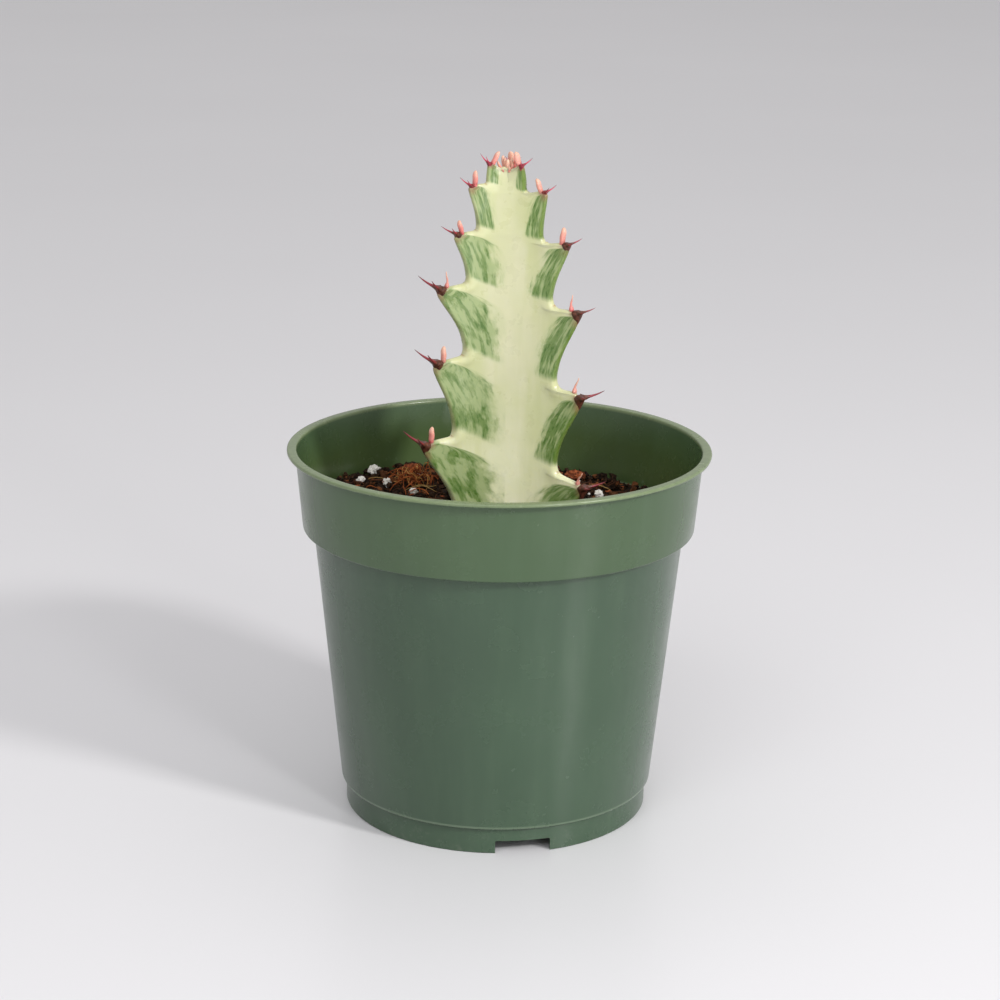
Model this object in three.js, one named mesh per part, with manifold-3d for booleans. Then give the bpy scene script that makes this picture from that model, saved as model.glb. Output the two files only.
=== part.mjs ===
// A variegated, three-ribbed euphorbia growing in a round plastic nursery pot.
// Millimetres, +Z up. The origin is the middle of the pot's foot, on the surface
// that the pot stands on. -Y is the front and +X the right.
import * as THREE from 'three';
import { mergeVertices } from 'three/addons/utils/BufferGeometryUtils.js';
import Module from 'manifold-3d';

const wasm = await Module();
wasm.setup();

// Clearance between pieces that touch in the real plant.
const GAP = 0.3;
const DEGREE = Math.PI / 180;

// The pot, a thin moulding turned about +Z.
const TURN_SEGMENTS = 60;
const POT_HEIGHT = 95;
const WALL = 1;
const RIM_RADIUS = 54;
const RIM_THICKNESS = 1;
const RIM_EDGE = 0.3;
const COLLAR_TOP_RADIUS = 51.9;
const COLLAR_FOOT_RADIUS = 50.1;
const COLLAR_FOOT_HEIGHT = 74.5;
const BODY_TOP_RADIUS = 47.4;
const BODY_FOOT_RADIUS = 40.5;
const FOOT_RADIUS = 39.3;
const FOOT_THICKNESS = 1.4;
const FOOT_HEIGHT = 6.7;
const FLOOR_UNDERSIDE = 7;
const FLOOR_TOP = 8.2;
const NOTCHES = { count: 3, width: 14, height: 3.4, depth: 6, firstAzimuth: -79.5 };
const DRAIN_HOLE = { radius: 4.5, distance: 30, segments: 16 };

// The potting mix. Its surface stands higher at the left than at the right.
const MIX_LEVEL = 77.4;
const MIX_SLOPE = -0.04;

// The stem. It stands upright, a little to the right of the pot's middle.
const STEM_X = 1.4;
const STEM_FOOT = 48;
const STEM_TOP = 167.4;
const FACE_COLUMNS = 8;
const ROOT_ROWS = [
  { height: STEM_FOOT, scale: 0.5 },
  { height: 52, scale: 0.85 },
  { height: 57, scale: 1 },
  { height: 80, scale: 1 },
];
const SOCKET_ROWS = 2;
// Distance from the axis to the middle of a face, by height.
const FACE_DEPTHS = [
  [80, 5.9],
  [100, 5.7],
  [130, 5.1],
  [150, 4.1],
  [160, 2.8],
  [STEM_TOP, 1.5],
];
// A tooth's lower edge, as [part of its height, part of its reach].
const TOOTH_SLOPE = [
  [0.22, 0.04],
  [0.42, 0.18],
  [0.62, 0.46],
  [0.82, 0.77],
  [1, 1],
];
// Each rib's azimuth, its reach at the root, how much of the rise to the notch its
// teeth have made at the shoulder, and its teeth from the soil up, each as
// [tip height, tip reach, notch height, notch reach].
const RIBS = [
  {
    name: 'right',
    azimuth: -25,
    rootReach: 16.6,
    shoulderRise: 0.45,
    teeth: [
      [84.2, 21.8, 90.2, 14.6],
      [108.6, 20.5, 114.8, 14.3],
      [130.6, 20.7, 134.2, 12.7],
      [147.8, 17.1, 150.4, 9.8],
      [160.4, 11, 161.4, 5.9],
      [166, 4.6, 167, 2.8],
    ],
  },
  {
    name: 'back',
    azimuth: 82,
    rootReach: 15,
    shoulderRise: 0.65,
    teeth: [
      [88, 20.9, 92, 14.8],
      [106.5, 21.2, 110.5, 14],
      [126, 20.2, 129.4, 12.4],
      [143.2, 17.4, 145.6, 10.4],
      [157.6, 12.6, 159, 6.8],
      [164.8, 6.4, 165.8, 3.4],
    ],
  },
  {
    name: 'left',
    azimuth: 205,
    rootReach: 13.8,
    shoulderRise: 0.85,
    teeth: [
      [94.6, 21.9, 99.6, 14.4],
      [117.9, 20.7, 120.9, 12.4],
      [135.6, 19.6, 138, 11.2],
      [148.2, 14.8, 150.4, 9.1],
      [160.8, 11.3, 162.8, 6.2],
      [166.2, 5.6, 167.4, 3.2],
    ],
  },
];
const SHOULDER_SETBACK = 0.1;
const CREST_THICKNESS = { base: 1.2, perReach: 0.12, chamfer: 0.7 };

// A tooth's horny shield with its two spines, at the size of a full-grown tooth.
const FULL_REACH = 20;
const SMALLEST_SCALE = 0.5;
const SHIELD = { radial: 1.5, across: 1.6, upright: 2 };
const SPINE = { length: 6.2, radius: 0.6, yaw: 42, pitch: 22, sides: 6 };

// The small fleshy leaf above each shield, and the leaves of the growing tip.
const LEAF = { length: 4.2, radius: 0.75, setback: 2.5, sides: 8, lift: 0.7 };
const LEAF_SHORTEST = 0.6;
const LEAF_VARIATION = 0.12;
const LEAF_OUTLINE = [
  [0, 0],
  [0.6, 0],
  [0.95, 0.3],
  [0.9, 0.65],
  [0.5, 0.93],
  [0, 1],
];
const TIP_LEAVES = [
  { azimuth: 260, distance: 1.4, length: 3.2 },
  { azimuth: 20, distance: 1.3, length: 2.9 },
  { azimuth: 140, distance: 1.3, length: 3.3 },
];

// Grains in the mix, as [x, y, size].
const PERLITE_GRAINS = [
  [-33.6, 30.5, 2.1],
  [-36.6, 21, 1.4],
  [-29.6, 19, 1.5],
  [26.4, 18.5, 1.5],
  [-12, -31, 1.8],
  [31, -13, 1.6],
  [-38, -9, 1.7],
  [9, 36, 1.5],
];
const BARK_CHIPS = [
  [20.6, 36, 3.2],
  [-24, 34, 3.4],
  [14, -35, 3.6],
  [-30, -26, 3],
];
const GRAIN_FLATNESS = 0.8;
const CHIP_FLATNESS = 0.42;
const GRAIN_WIDTH = 0.7;
const LUMPS = { depth: 0.14, alongX: 3, alongY: 2.5 };

function finish(color, roughness) {
  return new THREE.MeshStandardMaterial({ color, roughness, metalness: 0 });
}

const potPlastic = finish(0x587a5c, 0.42);
const mixBrown = finish(0x2c1d16, 0.95);
const stemSkin = finish(0xc3cc98, 0.4);
const spineHorn = finish(0x5e2028, 0.5);
const leafFlesh = finish(0xe29a8b, 0.5);
const perliteWhite = finish(0xe6e2da, 0.85);
const barkBrown = finish(0x7a3f22, 0.9);

const { lerp } = THREE.MathUtils;

// A closed mesh as a solid that can be cut and joined.
function toSolid(geometry) {
  const bare = geometry.clone();
  bare.deleteAttribute('normal');
  bare.deleteAttribute('uv');
  const welded = mergeVertices(bare);
  const corners = welded.index.array;
  const triVerts = [];
  for (let i = 0; i < corners.length; i += 3) {
    const [a, b, c] = corners.slice(i, i + 3);
    if (a !== b && b !== c && c !== a) {
      triVerts.push(a, b, c);
    }
  }
  const mesh = new wasm.Mesh({
    numProp: 3,
    vertProperties: Float32Array.from(welded.attributes.position.array),
    triVerts: Uint32Array.from(triVerts),
  });
  return new wasm.Manifold(mesh);
}

function toGeometry(solid) {
  const { vertProperties, triVerts } = solid.getMesh();
  const geometry = new THREE.BufferGeometry();
  geometry.setAttribute('position', new THREE.BufferAttribute(vertProperties, 3));
  geometry.setIndex(new THREE.BufferAttribute(triVerts, 1));
  geometry.computeVertexNormals();
  return geometry;
}

// The solid's largest piece, without the slivers that a cut can leave.
function largestPiece(solid) {
  const pieces = solid.decompose();
  pieces.sort((a, b) => b.volume() - a.volume());
  return pieces[0];
}

// A profile of [radius, height] pairs turned about +Z.
function turned(profile, segments) {
  const points = profile.map(([radius, height]) => new THREE.Vector2(radius, height));
  return new THREE.LatheGeometry(points, segments).rotateX(Math.PI / 2);
}

// A point at an azimuth in degrees, a distance from +Z and a height.
function polar(azimuth, distance, height) {
  const angle = azimuth * DEGREE;
  return new THREE.Vector3(distance * Math.cos(angle), distance * Math.sin(angle), height);
}

// Linear interpolation in a list of [position, value] pairs.
function interpolate(table, position) {
  const last = table.length - 1;
  if (position <= table[0][0]) {
    return table[0][1];
  }
  for (let i = 0; i < last; i += 1) {
    const [start, from] = table[i];
    const [end, to] = table[i + 1];
    if (position <= end) {
      return lerp(from, to, (position - start) / (end - start));
    }
  }
  return table[last][1];
}

function bodyRadius(height) {
  const part = (height - FOOT_HEIGHT) / (COLLAR_FOOT_HEIGHT - FOOT_HEIGHT);
  return lerp(BODY_FOOT_RADIUS, BODY_TOP_RADIUS, part);
}

function makePot() {
  const rimUnderside = POT_HEIGHT - RIM_THICKNESS;
  const shelf = COLLAR_FOOT_HEIGHT + WALL;
  const profile = [
    [0, FLOOR_UNDERSIDE],
    [FOOT_RADIUS - FOOT_THICKNESS, FLOOR_UNDERSIDE],
    [FOOT_RADIUS - FOOT_THICKNESS, 0],
    [FOOT_RADIUS - RIM_EDGE, 0],
    [FOOT_RADIUS, RIM_EDGE],
    [FOOT_RADIUS, FOOT_HEIGHT],
    [BODY_FOOT_RADIUS, FOOT_HEIGHT],
    [BODY_TOP_RADIUS, COLLAR_FOOT_HEIGHT],
    [COLLAR_FOOT_RADIUS, COLLAR_FOOT_HEIGHT],
    [COLLAR_TOP_RADIUS, rimUnderside],
    [RIM_RADIUS - RIM_EDGE, rimUnderside],
    [RIM_RADIUS, rimUnderside + RIM_EDGE],
    [RIM_RADIUS, POT_HEIGHT - RIM_EDGE],
    [RIM_RADIUS - RIM_EDGE, POT_HEIGHT],
    [COLLAR_TOP_RADIUS - WALL + RIM_EDGE, POT_HEIGHT],
    [COLLAR_TOP_RADIUS - WALL, POT_HEIGHT - RIM_EDGE],
    [COLLAR_FOOT_RADIUS - WALL, shelf],
    [BODY_TOP_RADIUS - WALL, shelf],
    [bodyRadius(FLOOR_TOP) - WALL, FLOOR_TOP],
    [0, FLOOR_TOP],
  ];
  let pot = toSolid(turned(profile, TURN_SEGMENTS));
  const notchLength = FOOT_THICKNESS + NOTCHES.depth;
  const floorMiddle = (FLOOR_UNDERSIDE + FLOOR_TOP) / 2;
  for (let i = 0; i < NOTCHES.count; i += 1) {
    const azimuth = NOTCHES.firstAzimuth + (i * 360) / NOTCHES.count;
    const notch = new THREE.BoxGeometry(notchLength, NOTCHES.width, 2 * NOTCHES.height);
    notch.rotateZ(azimuth * DEGREE);
    notch.translate(...polar(azimuth, FOOT_RADIUS, 0));
    const { radius, distance, segments } = DRAIN_HOLE;
    const hole = new THREE.CylinderGeometry(radius, radius, 4 * WALL, segments);
    hole.rotateX(Math.PI / 2);
    hole.translate(...polar(azimuth, distance, floorMiddle));
    pot = pot.subtract(toSolid(notch)).subtract(toSolid(hole));
  }
  return toGeometry(pot);
}

// The height of the mix's surface.
function mixHeight(x) {
  return MIX_LEVEL + MIX_SLOPE * x;
}

function mixBody() {
  const shelf = COLLAR_FOOT_HEIGHT + WALL;
  const bottom = FLOOR_TOP + GAP;
  const edge = COLLAR_FOOT_RADIUS - WALL - GAP;
  const profile = [
    [0, bottom],
    [bodyRadius(bottom) - WALL - GAP, bottom],
    [BODY_TOP_RADIUS - WALL - GAP, shelf],
    [BODY_TOP_RADIUS - WALL - GAP, shelf + GAP],
    [edge, shelf + GAP],
    [edge, MIX_LEVEL],
    [0, MIX_LEVEL],
  ];
  const geometry = turned(profile, TURN_SEGMENTS);
  const position = geometry.attributes.position;
  for (let i = 0; i < position.count; i += 1) {
    if (position.getZ(i) > MIX_LEVEL - GAP) {
      position.setZ(i, mixHeight(position.getX(i)));
    }
  }
  return geometry;
}

// A rib's crest from the root to the top, as [reach, height] rows. Every rib has
// the same number of rows.
function crestRows(rib) {
  const rows = ROOT_ROWS.map(({ height, scale }) => [rib.rootReach * scale, height]);
  let [reach, height] = rows[rows.length - 1];
  for (const [tipHeight, tipReach, notchHeight, notchReach] of rib.teeth) {
    for (const [rise, spread] of TOOTH_SLOPE) {
      rows.push([lerp(reach, tipReach, spread), lerp(height, tipHeight, rise)]);
    }
    rows.push(shoulderOf(rib, [tipHeight, tipReach, notchHeight]));
    rows.push([notchReach, notchHeight]);
    [reach, height] = [notchReach, notchHeight];
  }
  return rows;
}

// The upper corner of a tooth, as [reach, height].
function shoulderOf(rib, [tipHeight, tipReach, notchHeight]) {
  return [tipReach * (1 - SHOULDER_SETBACK), lerp(tipHeight, notchHeight, rib.shoulderRise)];
}

// The point in a column of a row on the stem, between one rib's crest and the next.
function stemPoint(crests, row, column, grow) {
  const face = Math.floor(column / FACE_COLUMNS) % RIBS.length;
  const step = column % FACE_COLUMNS;
  const half = FACE_COLUMNS / 2;
  const fromNext = step > half;
  const rib = fromNext ? (face + 1) % RIBS.length : face;
  const next = (face + 1) % RIBS.length;
  const turn = (RIBS[next].azimuth - RIBS[face].azimuth + 360) % 360;
  const side = fromNext ? -1 : 1;
  const [reach, height] = crests[rib][row];
  const faceHeight = (crests[face][row][1] + crests[next][row][1]) / 2;
  const rootScale = row < ROOT_ROWS.length ? ROOT_ROWS[row].scale : 1;
  const depth = interpolate(FACE_DEPTHS, faceHeight) * rootScale + grow;
  const thickness = CREST_THICKNESS.base + CREST_THICKNESS.perReach * reach;
  const halfThickness = thickness / 2 + grow;
  const valleyAngle = (turn / 2) * DEGREE;
  const valleyReach = depth * Math.cos(valleyAngle);
  const valley = new THREE.Vector3(valleyReach, depth * Math.sin(valleyAngle), faceHeight);
  const edgeReach = reach + grow - halfThickness * CREST_THICKNESS.chamfer;
  const shoulder = new THREE.Vector3(edgeReach, halfThickness, height);
  const part = (fromNext ? FACE_COLUMNS - step : step) / half;
  let point = new THREE.Vector3(reach + grow, 0, height);
  if (part > 0) {
    point = shoulder.lerp(valley, (part * half - 1) / (half - 1));
  }
  point.y *= side;
  return point.applyAxisAngle(new THREE.Vector3(0, 0, 1), RIBS[rib].azimuth * DEGREE);
}

// The stem's skin, moved outwards by grow: a cylinder whose columns run along the
// crests and faces and whose rows follow the teeth.
function stemSkinAt(grow) {
  const crests = RIBS.map(crestRows);
  const rowCount = crests[0].length;
  const columnCount = RIBS.length * FACE_COLUMNS;
  const geometry = new THREE.CylinderGeometry(1, 1, 1, columnCount, rowCount - 1);
  const position = geometry.attributes.position;
  const point = new THREE.Vector3();
  for (let i = 0; i < position.count; i += 1) {
    point.fromBufferAttribute(position, i);
    const row = Math.round((point.y + 0.5) * (rowCount - 1));
    const angle = Math.atan2(point.x, point.z);
    const column = Math.round((angle / (2 * Math.PI)) * columnCount + columnCount) % columnCount;
    if (Math.hypot(point.x, point.z) > 0.5) {
      point.copy(stemPoint(crests, row, column, grow));
    } else {
      point.set(0, 0, row === 0 ? STEM_FOOT : STEM_TOP);
    }
    if (row === 0) {
      point.z -= grow;
    }
    position.setXYZ(i, ...point);
  }
  return geometry;
}

// The mix with a socket for the buried part of the stem, which is a straight prism
// above its rounded foot.
function makeMix() {
  const crests = RIBS.map(crestRows);
  const columnCount = RIBS.length * FACE_COLUMNS;
  const outline = [];
  for (let column = 0; column < columnCount; column += 1) {
    const { x, y } = stemPoint(crests, SOCKET_ROWS, column, GAP);
    outline.push(new THREE.Vector2(x, y));
  }
  const depth = POT_HEIGHT - STEM_FOOT;
  const socket = new THREE.ExtrudeGeometry(new THREE.Shape(outline), { depth, bevelEnabled: false });
  socket.translate(STEM_X, 0, STEM_FOOT - GAP);
  return toGeometry(toSolid(mixBody()).subtract(toSolid(socket)));
}

// A tooth's nose, where its shield sits, and its size against a full-grown tooth.
function noseOf(rib, tooth) {
  const [tipHeight, tipReach] = tooth;
  const [shoulderReach, shoulderHeight] = shoulderOf(rib, tooth);
  return {
    reach: (tipReach + shoulderReach) / 2,
    height: (tipHeight + shoulderHeight) / 2,
    scale: THREE.MathUtils.clamp(tipReach / FULL_REACH, SMALLEST_SCALE, 1),
  };
}

function spineAt(side, scale) {
  const length = SPINE.length * scale;
  const spine = new THREE.ConeGeometry(SPINE.radius * scale, length, SPINE.sides);
  spine.translate(0, length / 2, 0);
  spine.rotateZ(-Math.PI / 2);
  spine.rotateY(-SPINE.pitch * DEGREE);
  spine.rotateZ(side * SPINE.yaw * DEGREE);
  return toSolid(spine);
}

function makeSpinePair(rib, tooth, stemClearance) {
  const { reach, height, scale } = noseOf(rib, tooth);
  const shield = new THREE.SphereGeometry(1, 10, 6).rotateX(Math.PI / 2);
  shield.scale(SHIELD.radial * scale, SHIELD.across * scale, SHIELD.upright * scale);
  const pair = toSolid(shield).add(spineAt(1, scale)).add(spineAt(-1, scale));
  const nose = polar(rib.azimuth, reach + GAP, height);
  const placed = pair.rotate([0, 0, rib.azimuth]).translate(nose.toArray());
  return toGeometry(largestPiece(placed.subtract(stemClearance)));
}

function leafShape(length, radius) {
  return turned(LEAF_OUTLINE.map(([r, z]) => [r * radius, z * length]), LEAF.sides);
}

function makeLeaf(rib, tooth, number) {
  const [, , notchHeight, notchReach] = tooth;
  const [shoulderReach, shoulderHeight] = shoulderOf(rib, tooth);
  const { reach, scale } = noseOf(rib, tooth);
  const distance = reach - LEAF.setback * scale;
  const along = (shoulderReach - distance) / (shoulderReach - notchReach);
  const edgeHeight = Math.max(lerp(shoulderHeight, notchHeight, along), shoulderHeight);
  const length = LEAF.length * lerp(LEAF_SHORTEST, 1, scale) * (1 - LEAF_VARIATION * (number % 2));
  const base = edgeHeight + LEAF.lift;
  return leafShape(length, LEAF.radius * scale).translate(...polar(rib.azimuth, distance, base));
}

function makeTipLeaf({ azimuth, distance, length }) {
  return leafShape(length, LEAF.radius).translate(...polar(azimuth, distance, STEM_TOP + GAP));
}

// A lumpy grain that lies on the mix.
function makeGrain([x, y, size], flatness) {
  const grain = new THREE.IcosahedronGeometry(1, 1);
  const position = grain.attributes.position;
  const point = new THREE.Vector3();
  for (let i = 0; i < position.count; i += 1) {
    point.fromBufferAttribute(position, i);
    const lump = Math.sin(LUMPS.alongX * point.x + x) * Math.cos(LUMPS.alongY * point.y + y);
    point.multiplyScalar(1 + LUMPS.depth * lump);
    position.setXYZ(i, ...point);
  }
  const width = size * lerp(GRAIN_WIDTH, 1, flatness);
  const thickness = size * flatness;
  grain.scale(size, width, thickness);
  grain.rotateZ(x * y);
  grain.computeBoundingBox();
  return grain.translate(x, y, mixHeight(x - size) + GAP - grain.boundingBox.min.z);
}

function named(name, geometry, material) {
  const mesh = new THREE.Mesh(geometry, material);
  mesh.name = name;
  return mesh;
}

const part = new THREE.Group();
const plant = new THREE.Group();
plant.position.x = STEM_X;
part.add(plant);

const stemGrown = toSolid(stemSkinAt(GAP));
const stemClearance = stemGrown.add(stemGrown.translate([0, 0, GAP]));

part.add(named('nursery_pot', makePot(), potPlastic));
part.add(named('potting_mix', makeMix(), mixBrown));
PERLITE_GRAINS.forEach((place, i) => {
  part.add(named(`perlite_grain_${i + 1}`, makeGrain(place, GRAIN_FLATNESS), perliteWhite));
});
BARK_CHIPS.forEach((place, i) => {
  part.add(named(`bark_chip_${i + 1}`, makeGrain(place, CHIP_FLATNESS), barkBrown));
});
plant.add(named('stem', stemSkinAt(0), stemSkin));
for (const rib of RIBS) {
  rib.teeth.forEach((tooth, i) => {
    const label = `${rib.name}_${i + 1}`;
    plant.add(named(`spine_pair_${label}`, makeSpinePair(rib, tooth, stemClearance), spineHorn));
    plant.add(named(`leaf_${label}`, makeLeaf(rib, tooth, i), leafFlesh));
  });
}
TIP_LEAVES.forEach((leaf, i) => {
  plant.add(named(`tip_leaf_${i + 1}`, makeTipLeaf(leaf), leafFlesh));
});

export default part;
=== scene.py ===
"""A variegated, three-ribbed euphorbia growing in a green plastic nursery pot."""
import math
import random

import bpy
import numpy as np
from mathutils import Matrix, Quaternion, Vector, noise


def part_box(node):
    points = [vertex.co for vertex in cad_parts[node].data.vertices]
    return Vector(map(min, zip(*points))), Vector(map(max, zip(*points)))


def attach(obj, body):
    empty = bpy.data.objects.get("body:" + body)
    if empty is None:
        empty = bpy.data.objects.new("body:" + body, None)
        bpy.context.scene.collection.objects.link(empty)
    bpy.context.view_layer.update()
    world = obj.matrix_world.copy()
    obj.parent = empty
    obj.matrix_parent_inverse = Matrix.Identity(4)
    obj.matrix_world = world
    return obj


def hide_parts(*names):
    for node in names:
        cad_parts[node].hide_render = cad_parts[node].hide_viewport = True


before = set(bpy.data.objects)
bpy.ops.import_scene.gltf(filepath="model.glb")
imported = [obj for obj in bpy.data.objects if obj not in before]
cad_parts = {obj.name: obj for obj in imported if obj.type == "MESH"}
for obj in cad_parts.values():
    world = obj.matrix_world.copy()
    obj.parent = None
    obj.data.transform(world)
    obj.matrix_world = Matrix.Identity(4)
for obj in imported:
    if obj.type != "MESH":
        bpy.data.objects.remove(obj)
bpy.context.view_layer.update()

MM = 0.001

# ------------ the object's sizes, in mm

# The pot. Its height and its rim come from the frame.
pot_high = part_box("nursery_pot")[1]
POT_HEIGHT = pot_high.z / MM
RIM_RADIUS = pot_high.x / MM
RIM_THICKNESS = 1.0
WALL = 1.0
LIP_WALL = 0.3
COLLAR_TOP_RADIUS = 51.9
COLLAR_FOOT_RADIUS = 50.1
COLLAR_FOOT_HEIGHT = 74.5
BODY_TOP_RADIUS = 47.4
BODY_FOOT_RADIUS = 40.5
FOOT_RADIUS = 39.3
FOOT_THICKNESS = 1.4
FOOT_HEIGHT = 6.7
FLOOR_UNDERSIDE = 7.0
FLOOR_TOP = 8.2
NOTCH_WIDTH = 14.0
NOTCH_HEIGHT = 3.4
NOTCH_AZIMUTHS = (-79.5, 40.5, 160.5)
DRAIN_RADIUS = 4.5
DRAIN_DISTANCE = 30.0
SHELF = COLLAR_FOOT_HEIGHT + WALL
POT_SEGMENTS = 240
FILLET_STEPS = 5

# The potting mix. Its surface stands higher at the left than at the right.
MIX_LEVEL = 77.4
MIX_SLOPE = -0.04
MIX_EDGE = COLLAR_FOOT_RADIUS - WALL - 0.1

# The stem, which stands a little to the right of the pot's middle.
STEM_X = 1.4
STEM_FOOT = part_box("stem")[0].z / MM
ROOT_TOP = 76.0
ROOT_BOTTOM = 57.0
FACE_DEPTHS = ((80.0, 5.8), (100.0, 5.6), (130.0, 5.0), (150.0, 4.0), (160.0, 2.8), (166.0, 1.6))

# Each rib: its azimuth, its reach at the root, how far its notches are rounded, and its teeth.
# A tooth has a tip, a shoulder where its upper edge starts, and a notch where that edge ends,
# each as a reach and a height.
RIBS = (
    ("right", -25.0, 16.6, 2.2, (
        ((22.0, 85.4), (21.0, 87.7), (14.4, 89.9)),
        ((20.8, 108.1), (19.4, 111.2), (13.9, 111.6)),
        ((20.1, 130.3), (17.9, 131.9), (12.4, 131.9)),
        ((16.9, 147.3), (14.7, 148.5), (9.5, 147.8)),
        ((10.7, 160.1), (8.6, 160.8), (4.8, 159.9)),
        ((4.9, 166.6), (3.7, 167.1), (1.9, 165.8)),
    )),
    ("back", 82.0, 15.0, 1.5, (
        ((20.9, 88.0), (18.6, 90.6), (14.8, 92.0)),
        ((21.2, 106.5), (18.8, 109.0), (13.8, 110.0)),
        ((20.2, 126.0), (17.8, 128.2), (12.2, 129.0)),
        ((17.4, 143.2), (15.0, 144.8), (10.2, 145.4)),
        ((12.6, 157.6), (10.4, 158.7), (6.6, 158.9)),
        ((6.0, 165.8), (4.6, 166.4), (2.4, 165.7)),
    )),
    ("left", 205.0, 13.8, 0.9, (
        ((23.0, 96.2), (20.5, 98.3), (14.6, 99.0)),
        ((20.3, 117.2), (16.8, 118.8), (11.8, 119.6)),
        ((19.4, 136.0), (16.2, 137.3), (11.2, 137.9)),
        ((14.7, 149.5), (12.0, 150.6), (8.5, 150.9)),
        ((10.9, 161.4), (8.6, 162.3), (6.0, 162.4)),
        ((5.7, 166.8), (4.4, 167.4), (2.6, 166.0)),
    )),
)
FULL_REACH = 20.0
SMALLEST_SCALE = 0.5


# ------------ working by hand

def object_mode():
    if bpy.context.mode != "OBJECT":
        bpy.ops.object.mode_set(mode="OBJECT")


def deselect_all():
    object_mode()
    bpy.ops.object.select_all(action="DESELECT")


def take(piece):
    """Selects one piece and makes it the active one."""
    deselect_all()
    piece.select_set(True)
    bpy.context.view_layer.objects.active = piece
    return piece


def primitive(add, name, **settings):
    """Adds one primitive, alone in the selection, with this name."""
    deselect_all()
    add(**settings)
    piece = bpy.context.object
    piece.name = name
    return piece


def edit_all(piece):
    take(piece)
    bpy.ops.object.mode_set(mode="EDIT")
    bpy.ops.mesh.select_all(action="SELECT")


def apply_modifier(piece, kind, **settings):
    """Adds one modifier with these settings and applies it."""
    take(piece)
    modifier = piece.modifiers.new(kind.title(), kind)
    for key, value in settings.items():
        setattr(modifier, key, value)
    bpy.ops.object.modifier_apply(modifier=modifier.name)
    return piece


def settle(piece):
    """Puts the piece's place, turn and size into its mesh."""
    take(piece)
    bpy.ops.object.transform_apply(location=True, rotation=True, scale=True)
    return piece


def face_outwards(piece):
    edit_all(piece)
    bpy.ops.mesh.remove_doubles(threshold=0.002 * MM)
    bpy.ops.mesh.select_all(action="SELECT")
    bpy.ops.mesh.normals_make_consistent(inside=False)
    object_mode()
    return piece


def smooth(piece, degrees=80.0):
    take(piece)
    bpy.ops.object.shade_smooth_by_angle(angle=math.radians(degrees))
    return piece


def join(pieces, name):
    deselect_all()
    for piece in pieces:
        piece.select_set(True)
    bpy.context.view_layer.objects.active = pieces[0]
    if len(pieces) > 1:
        bpy.ops.object.join()
    joined = bpy.context.object
    joined.name = name
    joined.data.name = name
    return joined


def discard(masters):
    """Removes the patterns that pieces were copied from."""
    for master in masters:
        bpy.data.objects.remove(master)


def points_of(piece):
    """The piece's vertices, as rows of x, y and z."""
    flat = np.empty(len(piece.data.vertices) * 3)
    piece.data.vertices.foreach_get("co", flat)
    return flat.reshape(-1, 3)


def move_points(piece, points):
    piece.data.vertices.foreach_set("co", np.asarray(points, float).ravel())
    piece.data.update()


def store(piece, name, values):
    """Keeps a number, or a vector, for each vertex."""
    values = np.asarray(values, float)
    kind = "FLOAT_VECTOR" if values.ndim == 2 else "FLOAT"
    attribute = piece.data.attributes.new(name, kind, "POINT")
    attribute.data.foreach_set("vector" if values.ndim == 2 else "value", values.ravel())


def finish(piece, material, slot, *nodes):
    """Gives the piece its finish, its body and the nodes that it stands for."""
    piece.data.materials.clear()
    piece.data.materials.append(material)
    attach(piece, "root")
    if nodes:
        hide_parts(*nodes)
    return piece


def smoothstep(low, high, value):
    part = np.clip((value - low) / (high - low), 0.0, 1.0)
    return part * part * (3 - 2 * part)


def fade(low, high, value):
    """The other way round: 1 up to the low value, and 0 from the high one."""
    return 1 - smoothstep(low, high, value)


# ------------ working with materials

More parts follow.
